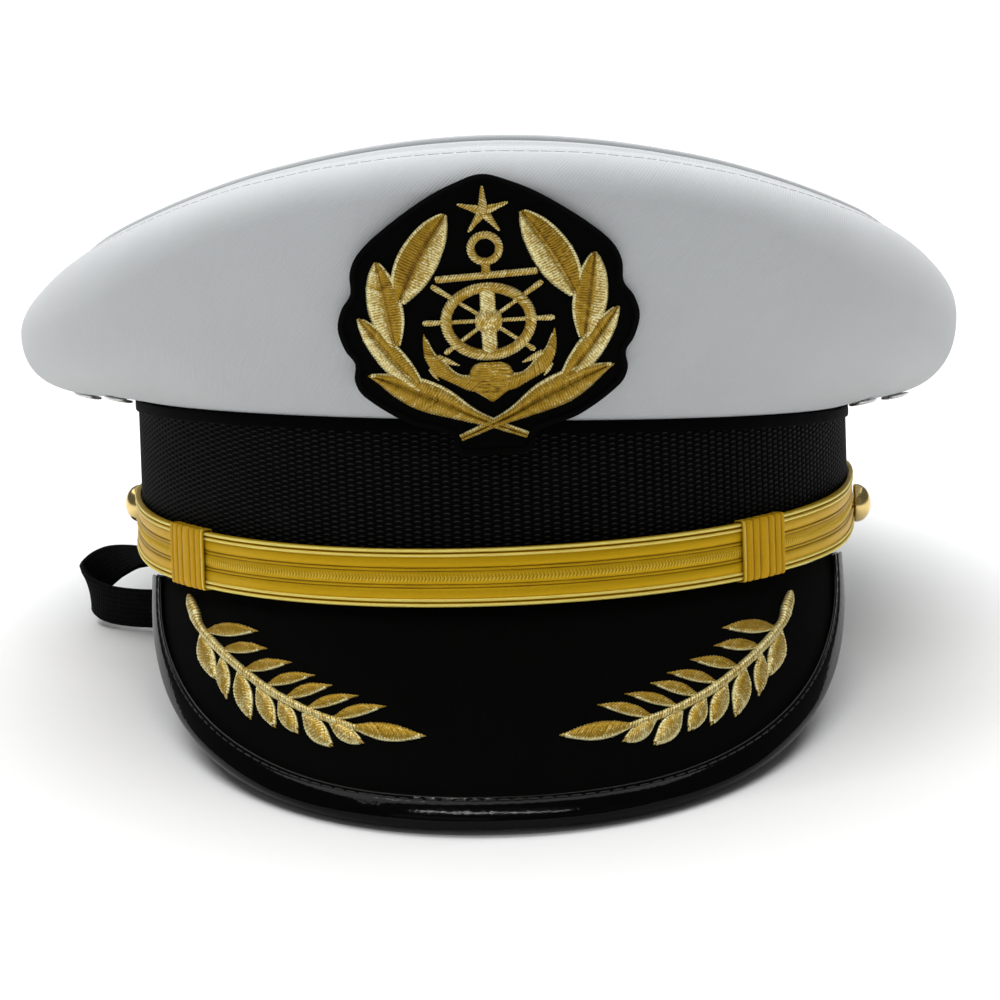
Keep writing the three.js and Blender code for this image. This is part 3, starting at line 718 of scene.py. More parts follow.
@dataclass(frozen=True)
class Coated:
    """Black coated cloth: glossy on the binding, duller inside the band and under the peak."""

    name: str
    roughness: float
    grain: float
    colour: Colour
    shine: float

    def material(self) -> Material:
        """Make the material."""
        dyer = Dyer(self.name)
        pebbles = dyer.signal("ShaderNodeTexVoronoi", {"feature": "SMOOTH_F1"}, {
            "Vector": dyer.place(), "Scale": 1100.0, "Smoothness": 0.6})
        cloud = dyer.noise(7.0)
        worn = dyer.noise(30.0, 2.0)
        shade = (cloud * 0.7 + pebbles * 0.4).limit()
        return dyer.finish(dyer.mix(shade, dimmed(self.colour, 0.45), self.colour),
                           self.roughness * (0.8 + worn * 0.4 + pebbles * 0.2),
                           dyer.bump(pebbles * 0.5 + cloud * 0.5, self.grain), Specular_IOR_Level=self.shine)


@dataclass(frozen=True)
class Braid:
    """Gold braid whose painted tone gives painted shade in its grooves and a painted highlight on its raised
    wires and plait.
    """

    name: str
    # Colours of the painted shade in the grooves, of the braid itself, and of the bright wires with their
    # painted highlight.
    shaded_groove: Colour = (0.13, 0.07, 0.003)
    body: Colour = (0.64, 0.385, 0.008)
    bright: Colour = (0.95, 0.82, 0.22)
    pick: float = 0.42
    relief: float = 0.07

    def material(self) -> Material:
        """Make the material."""
        dyer = Dyer(self.name)
        across, along = dyer.threads()
        picks = (across / self.pick + along * 0.35).wave()
        ends = dyer.noise(1.1, 3.0, 0.6, (0.12, 2.5, 1.0), on_uv=True)
        cloud = dyer.noise(22.0, 2.0)
        # The tone painted on the points carries painted shade and highlight; ends, cloud and picks add the
        # braid's own tone.
        tone = (dyer.tone() + (ends - 0.5) * 0.3 + (cloud - 0.5) * 0.16 + (picks - 0.5) * 0.06).limit()
        lit = dyer.mix(tone.step(0.5, 1.0), self.body, self.bright)
        return dyer.finish(dyer.mix(tone.step(0.02, 0.48), self.shaded_groove, lit), 0.5 - tone * 0.16,
                           dyer.bump(picks * 0.5 + ends * 0.5, self.relief), Metallic=0.35,
                           Specular_IOR_Level=0.06)


@dataclass(frozen=True)
class GoldThread:
    """Gold embroidery thread, from dull in the stitches' painted shadow to a painted highlight on their
    ends.
    """

    # Colours of the painted shadow, of the thread, and of the painted highlight.
    deep: Colour = (0.10, 0.046, 0.006)
    body: Colour = (0.42, 0.25, 0.016)
    bright: Colour = (0.93, 0.87, 0.47)
    relief: float = 0.1

    def material(self) -> Material:
        """Make the material."""
        dyer = Dyer("gold_thread")
        sparkle = dyer.noise(0.6, 2.0, 0.7)
        cloud = dyer.noise(6.0, 2.0)
        painted = dyer.tone()
        # Painted glints, and dark pits of painted shade, scattered by the sparkle noise.
        glint = sparkle.step(0.53, 0.66) - sparkle.step(0.46, 0.34) * 0.7
        tone = (painted + glint * (painted ** 1.5 * 0.42 + 0.04) + (cloud - 0.5) * 0.12).limit()
        lit = dyer.mix(tone.step(0.45, 1.0), self.body, self.bright)
        return dyer.finish(dyer.mix(tone.step(0.0, 0.45), self.deep, lit), 0.48 - tone * 0.14,
                           dyer.bump(sparkle, self.relief), Metallic=0.45, Specular_IOR_Level=0.15)


@dataclass(frozen=True)
class Plate:
    """Polished plated metal."""

    name: str
    colour: Colour
    dull: Colour
    roughness: float
    relief: float = 0.01

    def material(self) -> Material:
        """Make the material."""
        dyer = Dyer(self.name)
        haze = dyer.noise(2.5, 4.0)
        scuffs = dyer.noise(0.6, 3.0, 0.6, (1.0, 5.0, 1.0))
        return dyer.finish(dyer.mix((haze * 1.2 - 0.2).limit(), self.colour, self.dull),
                           self.roughness + haze * 0.1 + scuffs * 0.04, dyer.bump(scuffs, self.relief),
                           Metallic=1.0)


@dataclass(frozen=True)
class Elastic:
    """Black woven elastic with fine cross ribs."""

    rib: float = 0.7
    cord: float = 1.25
    relief: float = 0.16
    low: Colour = (0.0012, 0.0012, 0.0013)
    high: Colour = (0.009, 0.009, 0.0095)

    def material(self) -> Material:
        """Make the material."""
        dyer = Dyer("black_elastic")
        across, along = dyer.threads()
        weave = (across / self.rib).wave() * 0.6 + (along / self.cord).wave() * 0.4
        fuzz = dyer.noise(0.5, 2.0)
        # Painted shade: lighter on the weave's ribs, darker between them, with random fuzz.
        return dyer.finish(dyer.mix((weave * 0.8 + fuzz * 0.3 - 0.1).limit(), self.low, self.high), 0.78,
                           dyer.bump(weave + fuzz * 0.2, self.relief), Specular_IOR_Level=0.05)


@dataclass(frozen=True)
class Thread:
    """Sewing thread of one colour, with painted shade between its strands."""

    name: str
    colour: Colour
    shadow: float
    strand: Pair = (0.5, 0.6)
    relief: float = 0.05

    def material(self) -> Material:
        """Make the material."""
        dyer = Dyer(self.name)
        across, along = dyer.threads()
        twist = (across / self.strand[0] + along / self.strand[1]).wave()
        return dyer.finish(dyer.mix(twist, dimmed(self.colour, self.shadow), self.colour),
                           0.6 + dyer.noise(1.0) * 0.15, dyer.bump(twist, self.relief),
                           Specular_IOR_Level=0.4)


@dataclass(frozen=True)
class Paper:
    """The pale floor."""

    colour: Colour = (0.93, 0.93, 0.93)

    def material(self) -> Material:
        """Make the material."""
        dyer = Dyer("pale_floor")
        shade = dyer.mix(dyer.noise(400.0, 2.0), dimmed(self.colour, 0.985), self.colour)
        return dyer.finish(shade, 0.9, Specular_IOR_Level=0.1)


class Wardrobe:
    """Every finish of the cap, made once."""

    def __init__(self) -> None:
        """Make the materials."""
        self.twill = Twill().material()
        self.webbing = Webbing().material()
        self.felt = Felt().material()
        self.binding = Coated("gloss_binding", 0.08, 0.035, (0.0013, 0.0013, 0.0014), 0.1).material()
        self.sweatband = Coated("sweatband", 0.5, 0.08, (0.006, 0.006, 0.006), 0.3).material()
        self.edging = Coated("band_edging_cloth", 0.7, 0.05, (0.0016, 0.0016, 0.0016), 0.02).material()
        self.braid = Braid("gold_braid").material()
        # The keepers' braid has lighter painted shade in its grooves.
        self.keeper = Braid("keeper_braid", (0.27, 0.135, 0.003), (0.64, 0.36, 0.007)).material()
        self.thread = GoldThread().material()
        self.gilt = Plate("gilt", (0.80, 0.60, 0.24), (0.62, 0.46, 0.18), 0.14).material()
        self.nickel = Plate("nickel", (0.74, 0.74, 0.73), (0.52, 0.52, 0.52), 0.2).material()
        self.elastic = Elastic().material()
        self.white_stitch = Thread("white_stitching", (0.70, 0.72, 0.73), 0.9).material()
        self.black_stitch = Thread("black_stitching", (0.012, 0.012, 0.012), 0.62).material()


@dataclass(frozen=True)
class Assembly:
    """A group of pieces that take their finishes from one wardrobe."""

    wardrobe: Wardrobe


# --- Crown ---


@dataclass(frozen=True)
class Crown(Assembly):
    """White cloth crown: a wall that swells out over the band and rolls in to the rim, and a top panel."""

    # Angle round the head, how far the cloth stands out, height of its widest line, height of the rim,
    # how far the roll comes back in, and how slack the cloth is below the widest line.
    sections: Rows = (
        (0, 17.5, 51, 61.1, 12, 0), (30, 18.5, 44, 55.8, 14, 0.1), (60, 24.2, 25.1, 42.8, 13, 0.5),
        (90, 28.2, 18, 29, 12.5, 1), (135, 27.5, 17.5, 28, 13, 1), (180, 24, 17, 27, 13, 1))
    cloth: float = 1.5
    clear: float = 0.3
    centre_rise: float = 37.0
    fullness: float = 1.6
    welt: float = 1.0
    welt_drop: float = 0.25
    wall_share: float = 0.6
    # Distance from the rim, rise and reach of the ridge beside the welt, and of the hollows along the two
    # sewn rows.
    creases: Rows = ((1.55, 0.8, 0.03), (3.4, -0.16, 0.016), (6.4, -0.14, 0.016))
    stitch: float = 3.1
    stitch_thread: float = 0.17
    stitch_gap: float = 0.14
    stitch_depth: float = 0.14
    side_flat: Pair = (0.756, 0.072)
    top_flat: Pair = (0.204, 0.224)
    # Radius and height of an eyelet's ring, and of the dark disc in it, painted shade in the hole.
    ring: Rows = ((1.55, -1.9), (1.95, -1.9), (1.95, 0.1), (3.3, 0.1), (3.5, 0.3), (3.45, 0.55), (3.1, 0.8),
                  (2.5, 0.95), (2.0, 0.85), (1.7, 0.5), (1.55, 0.0), (1.55, -1.9))
    hole: Rows = ((0.0, -0.5), (1.9, -0.5), (1.9, -0.9), (0.0, -0.9))

    def row(self, angle: Array) -> Array:
        """Smooth values of the section table.

        Args:
            angle: Directions round the head, whose two sides are alike.

        Returns:
            One row for each column of the table but the first, with a value for each angle.
        """
        before, after = self.sections[1], self.sections[4]
        table = [(-before[0], *before[1:]), *self.sections, (360 - after[0], *after[1:])]
        folded = np.abs((np.asarray(angle, float) + 180) % 360 - 180)
        return hermite([line[0] for line in table], [line[1:] for line in table], folded).T

    def wall(self, angle: Array, share: Array, depth: float = 0.0) -> Array:
        """Places on the crown's wall.

        Args:
            angle: Directions round the head.
            share: Shares of the way from the band to the rim.
            depth: Depth below the outer face.

        Returns:
            One place for each angle and each share.
        """
        out, wide, rise, roll, slack = self.row(angle)[..., None]
        t = np.clip(share / self.wall_share, 0, 1)[None]
        low_out = cubic(t, out * (0.36 + 0.26 * slack), out * (0.86 + 0.14 * slack), out)
        low_up = cubic(t, wide * (0.3 - 0.26 * slack), wide * (0.68 - 0.48 * slack), wide)
        turn = np.clip((share - self.wall_share) / (1 - self.wall_share), 0, 1)[None] * np.pi / 2
        rolled = share[None] > self.wall_share
        away = np.where(rolled, out - roll + roll * np.cos(turn), low_out)
        up = np.where(rolled, wide + (rise - wide) * np.sin(turn), low_up)
        along_out, along_up = np.gradient(away, axis=1), np.gradient(up, axis=1)
        size = np.hypot(along_out, along_up) + 1e-9
        lift = self.unevenness(angle, share) - depth
        away = away + along_up / size * lift
        up = up - along_out / size * lift
        skew = (EDGES.top(angle) - EDGES.height)[:, None] * np.clip(1 - up / rise, 0, 1)
        return HEAD.point(np.asarray(angle)[:, None], away, EDGES.height + self.clear + up + skew)

    @staticmethod
    def unevenness(angle: Array, share: Array) -> Array:
        """How far the soft cloth stands out of or sinks below its even shape.

        Args:
            angle: Directions round the head.
            share: Shares of the way from the band to the rim.

        Returns:
            One height for each angle and each share.
        """
        a, s = np.radians(angle)[:, None], share[None]
        held = np.sin(np.pi * np.clip(s, 0, 1)) ** 0.8
        side = 1 - bell(np.abs(a), 0.0, 0.75, 4)
        slow = 0.3 * np.sin(3 * a + 0.6) * np.sin(4.2 * s + 1.1) + 0.25 * np.sin(7 * a + 2.1 - 3 * s)
        drape = 0.45 * np.sin(17 * a + 5 * s) * bell(s, 0.22, 0.16) * side
        ripple = 0.08 * np.sin(31 * a + 1.3) * np.sin(9 * s)
        return held * (slow * (0.35 + 0.65 * side) + ripple) + drape * held

    def rim_distance(self, angle: Array, distance: float) -> Array:
        """Shares of the wall that lie a distance outside the rim, along the roll."""
        _, wide, rise, roll, _ = self.row(angle)
        turn = np.pi / 2 - distance / (0.5 * (roll + (rise - wide)) + 0.25 * np.abs(roll - rise + wide))
        return self.wall_share + (1 - self.wall_share) * turn / (np.pi / 2)

    def rim(self, angle: Array, inset: float) -> Array:
        """Places on the rim, moved level towards the head. The wall needs a neighbour to know its slope."""
        return self.wall(angle, np.array([0.98, 1.0]))[:, 1] - HEAD.normal(angle) * inset

    def top(self, angle: Array, share: Array, depth: float) -> Array:
        """Places on the top panel.

        Args:
            angle: Directions from the middle.
            share: Shares of the way out to the rim.
            depth: Depth below the upper face.

        Returns:
            One place for each angle and each share.
        """
        rim = self.rim(angle, self.clear)[:, None]
        a, s = np.radians(angle)[:, None], share[None]
        centre = EDGES.height + self.centre_rise
        soft = 0.9 * np.sin(2 * a + 0.8) * s * (1 - s) + np.sin(5 * a) * s**2 * (1 - s)
        places = rim * s[..., None]
        places[..., 2] = centre + (rim[..., 2] - centre) * s**self.fullness + soft - depth
        return places

    def facing(self, angle: Array, share: Array) -> tuple[Array, Array]:
        """Single places on the wall.

        Args:
            angle: Their directions round the head.
            share: Their shares of the way from the band to the rim.

        Returns:
            The places, and the directions out of the cloth there.
        """
        places, outer = [], []
        for one, part in zip(angle, share):
            near = np.array([part - 0.01, part, min(part + 0.01, 1.0)])
            places.append(self.wall(np.array([one]), near)[0, 1])
            outer.append(self.wall(np.array([one]), near, -1.0)[0, 1] - places[-1])
        return np.array(places), unit(np.array(outer))

    @staticmethod
    def declare_sheet(piece: bpy.types.Object, flat: Pair) -> None:
        """Take a two-faced piece of cloth and the size in metres that it was cut to; nothing is done with
        them.
        """

    def make_side(self) -> None:
        """Weave the wall, with its lining side and the creases by the rim."""
        angles = HEAD.around(1.55)
        swell, roll = np.linspace(0, self.wall_share, 30), np.linspace(self.wall_share, 1, 46)
        share = np.concatenate([swell, roll[1:]])
        outer = self.wall(angles, share)
        for distance, rise, reach in self.creases:
            near = bell(share[None], self.rim_distance(angles, distance)[:, None], reach)
            outer = outer + (rise * near)[..., None] * UP
        inner = self.wall(angles, share[::3], self.cloth)[:, ::-1]
        work = Workpiece("crown_side_cloth")
        work.grid(np.concatenate([outer, inner], axis=1), Joined.BOTH)
        piece = work.finished([self.wardrobe.twill], "crown_side")
        self.declare_sheet(piece, self.side_flat)

    def make_top(self) -> None:
        """Weave the top panel, with the grain of one flat piece of cloth."""
        angles = np.linspace(-180, 180, 161)[:-1]
        share = np.linspace(0, 1, 41)
        work = Workpiece("crown_top_cloth")
        faces = [self.top(angles, share, 0.0), self.top(angles, share[::-2], self.cloth)]
        work.grid(np.concatenate(faces, axis=1), Joined.ROUND)
        for face in work.mesh.faces:
            for loop in face.loops:
                loop[work.uv].uv = loop.vert.co.xy
        piece = work.finished([self.wardrobe.twill], "crown_top")
        self.declare_sheet(piece, self.top_flat)

    def make_welt(self) -> None:
        """Roll the thin welt that covers the joint of wall and top."""
        angles = HEAD.around(1.6)
        middle = self.rim(angles, self.clear / 2) + UP * (self.clear + self.welt - self.welt_drop)
        work = Workpiece("crown_welt_cord")
        work.tube(middle, np.broadcast_to(UP, middle.shape), self.welt, 12, True)
        work.finished([self.wardrobe.twill], "crown_welt")

    def make_stitching(self) -> None:
        """Sew the two rows below the welt."""
        work = Workpiece("crown_stitching")
        angles = HEAD.around(3.0)
        for distance, _, _ in self.creases[1:]:
            places, outer = self.facing(angles, self.rim_distance(angles, distance))
            work.stitches(places - outer * self.stitch_depth, outer, self.stitch, self.stitch_thread,
                          closed=True, gap=self.stitch_gap)
        work.finished([self.wardrobe.white_stitch])

    def make_eyelet(self, name: str) -> None:
        """Set one air hole under the swell, where its CAD node is."""
        middle = np.mean(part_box(name), axis=0)
        angles = np.linspace(50, 100, 51) * (-1 if "right" in name else 1)
        shares = np.linspace(0.05, 0.5, 46)
        away = np.linalg.norm(CAP.stand(self.wall(angles, shares)) - middle, axis=2)
        column, row = np.unravel_index(np.argmin(away), away.shape)
        places, outer = self.facing(angles[[column]], shares[[row]])
        work = Workpiece(name + "_ring")
        work.turned(self.ring, 40, places[0], outer[0])
        # A dark disc in the hole stands for the shade in it.
        work.turned(self.hole, 24, places[0], outer[0], 1)
        work.finished([self.wardrobe.nickel, self.wardrobe.sweatband], name, 40)

    def make(self) -> None:
        """Make every piece of the crown."""
        self.make_side()
        self.make_top()
        self.make_welt()
        self.make_stitching()
        for side in ("right", "left"):
            self.make_eyelet(f"eyelet_{side}_front")
            self.make_eyelet(f"eyelet_{side}_side")


# --- Band ---


@dataclass(frozen=True)
class Band(Assembly):
    """Black ribbed band with a smooth edging along its top."""

    rib: float = 2.25
    rib_steps: int = 6
    rib_depth: float = 0.22
    # Share of the height and distance outside the oval, up the ribbed outside and down the lined inside.
    outside: Rows = ((0.0, -0.7), (0.012, -0.2), (0.05, 0), (0.2, 0), (0.4, 0), (0.6, 0), (0.8, 0),
                     (0.95, 0), (0.99, -0.2), (1.0, -0.6))
    inside: Rows = ((1.0, -1.9), (0.985, -2.5), (0.8, -2.5), (0.5, -2.5), (0.2, -2.5), (0.015, -2.5),
                    (0.0, -1.9))
    hem: float = 3.0
    hem_stitch: float = 3.4
    hem_thread: float = 0.2
    edging_height: float = 2.7
    edging_out: float = 0.15
    edging_thick: float = 0.6
    edging_square: float = 0.6

    def make_band(self) -> None:
        """Weave the ribbed outside, line the inside and sew its hem."""
        total = HEAD.along(-180, 180, 1.0)[1][-1]
        angles = HEAD.around(total / (round(total / self.rib) * self.rib_steps))
        phase = (np.arange(len(angles)) % self.rib_steps) / self.rib_steps
        dent = self.rib_depth * np.abs(2 * phase - 1) ** 2.5
        ribbed = np.repeat([1.0, 0.0], [len(self.outside), len(self.inside)])
        share, out = np.array([*self.outside, *self.inside]).T
        bottom, top = EDGES.bottom(angles)[:, None], EDGES.top(angles)[:, None]
        wall = HEAD.point(angles[:, None], out - dent[:, None] * ribbed, bottom + (top - bottom) * share)
        work = Workpiece("band_webbing")
        work.grid(wall, Joined.BOTH, finishes=[0] * len(self.outside) + [1] * len(self.inside))
        coarse = HEAD.around(4.0)
        seam = HEAD.point(coarse, self.inside[1][1], EDGES.bottom(coarse) + self.hem)
        work.stitches(seam, -HEAD.normal(coarse), self.hem_stitch, self.hem_thread, True, 2)
        work.finished([self.wardrobe.webbing, self.wardrobe.sweatband, self.wardrobe.black_stitch],
                      "band")

    def make_edging(self) -> None:
        """Lay the smooth strip along the band's upper edge."""
        angles = HEAD.around(2.0)
        turn = np.linspace(0, 2 * np.pi, 16, endpoint=False)
        out = self.edging_out + self.edging_thick / 2 * (1 + signed_power(np.cos(turn), self.edging_square))
        up = self.edging_height / 2 * signed_power(np.sin(turn), self.edging_square)
        middle = EDGES.top(angles)[:, None] - self.edging_height / 2
        work = Workpiece("band_edging_strip")
        work.grid(HEAD.point(angles[:, None], out[None], middle + up[None]), Joined.BOTH)
        work.finished([self.wardrobe.edging], "band_edging")

    def make(self) -> None:
        """Make the band and its edging."""
        self.make_band()
        self.make_edging()


# --- Chin strap ---


@dataclass(frozen=True)
class ChinStrap(Assembly):
    """Gold braid strap with bright wires at its edges, two ridged keepers and two domed buttons."""

    width: float = 13.0
    thick: float = 1.6
    out: float = 1.4
    end_out: float = 0.4
    end_thick: float = 1.0
    settles: Pair = (60.0, 82.0)
    front_top: float = 13.0
    side_rise: float = 9.0
    reach: Pair = (-100.0, 93.0)
    step: float = 0.27
    plait: float = 0.8
    relief_room: float = 0.28
    # Distances of the woven columns from the middle line, from the edge inwards.
    columns: Sequence[float] = (6.5, 6.3, 6.1, 5.9, 5.72, 5.57, 5.42, 5.2, 5.0, 4.8, 4.6, 4.3, 3.9, 3.4, 2.9,
                                2.5, 2.25, 2.05, 1.85, 1.65, 1.5, 1.3, 1.0, 0.7, 0.35)
    # Distance from the middle line and half width, then the height and lightness of each bright wire, a
    # lightness that is partly painted highlight, and the depth of each groove, which is painted with shade.
    wires: Rows = ((6.1, 0.42, 0.45, 0.98), (5.0, 0.4, 0.42, 0.92))
    grooves: Rows = ((5.57, 0.2, 0.2), (2.25, 0.22, 0.16), (1.5, 0.2, 0.15))
    keeper_sweep: float = 8.8
    keeper_length: float = 11.2
    keeper_square: float = 0.22
    keeper_wall: float = 0.3
    # Room between the strap and a keeper, in thickness and in height.
    keeper_room: Pair = (0.3, 0.25)
    # Distance towards the front, half width and lightness of each rib of a keeper. The front one is bright:
    # a painted highlight.
    ribs: Rows = ((5.25, 0.4, 0.72), (3.95, 0.85, 0.42), (2.2, 0.85, 0.42), (0.1, 1.2, 0.47),
                  (-2.0, 0.85, 0.42), (-3.75, 0.85, 0.42), (-5.15, 0.5, 0.45))
    rib_height: float = 0.26
    # Radius and height of a button below its dome: the foot inside the band, the post and the rim.
    shank: Rows = ((0.0, -5.3), (2.6, -5.3), (2.6, -4.6), (1.2, -4.5), (1.2, 0.0), (4.1, 0.0), (4.5, 0.1),
                   (4.7, 0.3))
    button_gap: float = 0.12
    dome_radius: float = 4.7
    dome_foot: float = 0.55
    dome_rise: float = 3.75

    def lie(self, angle: Array) -> tuple[Array, Array]:
        """How far the strap stands off the band and its thickness, less where the buttons hold it down."""
        settled = smooth_step(*self.settles, np.abs(angle))
        return (self.out + (self.end_out - self.out) * settled,
                self.thick + (self.end_thick - self.thick) * settled)

    def middle(self, angle: Array) -> Array:
        """Height of the strap's middle line."""
        return self.front_top + self.side_rise * (1 - np.cos(np.radians(angle))) - self.width / 2

    def strips(self, across: Array, along: Array) -> tuple[Array, Array]:
        """The braid's relief, and its tone with painted highlight and painted shade.

        Args:
            across: Distance from the middle line.
            along: Distance along the strap.

        Returns:
            Height over the flat strap, and tone from 0, painted shade in the grooves, to 1, painted
            highlight on the wires.
        """
        w = np.abs(across)
        height = np.zeros(np.broadcast(across, along).shape)
        tone = np.full_like(height, 0.5)
        twist = 0.04 * np.cos(2 * np.pi * (along / 0.9 + across))
        for centre, half, raised, light in self.wires:
            cord = np.sqrt(np.clip(1 - ((w - centre) / half) ** 2, 0, 1))
            height = np.maximum(height, cord * raised + cord * twist)
            # Painted highlight on each wire, darker towards its sides.
            tone = np.where(cord > 0.35, light - 0.2 * (1 - cord), tone)
        satin = np.clip(1 - np.abs((w - 3.45) / 1.15) ** 3, 0, 1)
        height = np.maximum(height, 0.2 * satin)
        for centre, half, depth in self.grooves:
            shaded_groove = bell(w, centre, half)
            height = height - depth * shaded_groove
            # Painted shade in each groove.
            tone = tone * (1 - 0.75 * shaded_groove)
        leg = np.cos(2 * np.pi * (along / self.plait + w * 0.55))
        core = np.clip(1 - w**4, 0, 1)
        height = height + 0.1 * bell(w, 1.85, 0.28, 4) + core * (0.13 + 0.13 * leg)
        # The plait's raised legs get a painted highlight.
        return height, np.clip(tone + core * 0.32 * leg, 0, 1)

    def make_strap(self) -> None:
        """Weave the strap."""
        angles, along = HEAD.along(*self.reach, self.step)
        half = np.array(self.columns)
        across = np.concatenate([-half, [0.0], half[::-1]])
        height, tone = self.strips(across[None], along[:, None])
        sag = 0.125 * np.sin(along / 17.0)[:, None] * np.sin(along / 41.0 + 1.0)[:, None]
        off, thick = (value[:, None] for value in self.lie(angles))
        middle = self.middle(angles)[:, None] + 0.12 * np.sin(along / 23.0)[:, None]
        face = off + thick - self.relief_room + height + sag
        outer = HEAD.point(angles[:, None], face, middle + across[None])
        back = HEAD.point(angles[:, None], off, middle + across[None, ::-5])
        tones = np.concatenate([tone, np.full(back.shape[:2], 0.4)], axis=1)
        work = Workpiece("chin_strap_braid")
        work.grid(np.concatenate([outer, back], axis=1), Joined.SECTION, tones)
        work.close()
        work.finished([self.wardrobe.braid], "chin_strap", 75)
        LOG.info("chin strap: %.0f mm long, %.1f mm wide", along[-1], self.width)

    def make_keeper(self, name: str, middle: float) -> None:
        """Wrap one keeper round the strap.

        Args:
            name: Its CAD node.
            middle: Its angle round the head.
        """
        turn = np.linspace(0, 2 * np.pi, 64, endpoint=False)
        loop_out = signed_power(np.cos(turn), self.keeper_square)[:, None]
        loop_up = signed_power(np.sin(turn), self.keeper_square)[:, None]
        share = np.linspace(-0.5, 0.5, 91)
        width = share * self.keeper_length
        ribs, tone = np.zeros_like(width), np.full_like(width, 0.42)
        front = -math.copysign(1.0, middle)
        for centre, half, light in self.ribs:
            hump = np.clip(1 - np.abs((width - front * centre) / half) ** 2.6, 0, 1)
            tone = np.where(hump > 0, light, tone)
            ribs = np.maximum(ribs, hump * self.rib_height)
        # Painted shade between the ribs.
        tone = tone * (0.3 + 0.7 * np.clip(ribs / 0.16, 0, 1))
        knit = 0.05 * np.cos(turn * 60)[:, None] * (np.abs(width) < 1.1)
        # The outside comes first, and then the plain inside, back from one end to the other.
        grow = np.concatenate([self.keeper_wall + ribs + knit, np.zeros((len(turn), 3))], axis=1)
        angles = middle + self.keeper_sweep * np.concatenate([share, [0.5, 0.0, -0.5]])
        away = self.out + self.thick / 2 + (self.thick / 2 + self.keeper_room[0] + grow) * loop_out
        height = self.middle(angles)[None] + (self.width / 2 + self.keeper_room[1] + 0.6 * grow) * loop_up
        # The plain inside is painted dark, as shade.
        tones = np.broadcast_to(np.concatenate([tone, [0.2] * 3]), away.shape)
        work = Workpiece(name + "_loop")
        work.grid(HEAD.point(angles[None], away, height), Joined.BOTH, tones)
        work.finished([self.wardrobe.keeper], name, 75)

    def make_button(self, name: str, angle: float, height: float) -> None:
        """Turn one domed button with its post.

        Args:
            name: Its CAD node.
            angle: Its angle round the head.
            height: Its height.
        """
        dome = []
        for rise in range(0, 90, 6):
            sine, cosine = sine_cosine(rise)
            dome.append((self.dome_radius * cosine, self.dome_foot + self.dome_rise * sine))
        profile = [*self.shank, *dome, (0.0, self.dome_foot + self.dome_rise)]
        at = HEAD.point(np.array(angle), sum(self.lie(angle)) + self.button_gap, height)
        work = Workpiece(name + "_dome")
        work.turned(profile, 56, at, HEAD.normal(np.array(angle)))
        work.finished([self.wardrobe.gilt], name, 50)

    def make(self) -> None:
        """Make the strap, its keepers and its buttons."""
        self.make_strap()
        self.make_keeper("keeper_right", -52.6)
        self.make_keeper("keeper_left", 42.6)
        self.make_button("button_right", -95.0, 17.5)
        self.make_button("button_left", 87.0, 12.8)


# --- Embroidery ---


class Stitch(Enum):
    """How a stroke of embroidery is worked."""

    SATIN = "one padded bar of slanting threads"
    LEAF = "two slanting halves with a vein between them"
    ROUGH = "a textured filling with a corded edge"
    CORD = "a narrow beaded line"


@dataclass(frozen=True)
class Stroke:
    """One stroke of embroidery: places and widths along it, its height, and how it is worked.

    Tones say how light its right and its left half are painted, lit and shaded halves of one thread, and
    corded how light the cord along each edge is, a painted highlight, or 0 for none. Slant is how much its
    threads lean along it, and a closed stroke is a ring.
    """

    stations: Rows
    lift: float
    stitch: Stitch
    tones: Pair
    corded: Pair = (0.0, 0.0)
    closed: bool = False
    slant: float = 0.6

    def on_side(self, side: int) -> "Stroke":
        """The stroke itself where side is 1, or flipped over the middle line where it is -1."""
        if side > 0:
            return self
        stations = [(-row[0], *row[1:]) for row in self.stations]
        return replace(self, stations=stations, tones=self.tones[::-1], corded=self.corded[::-1])


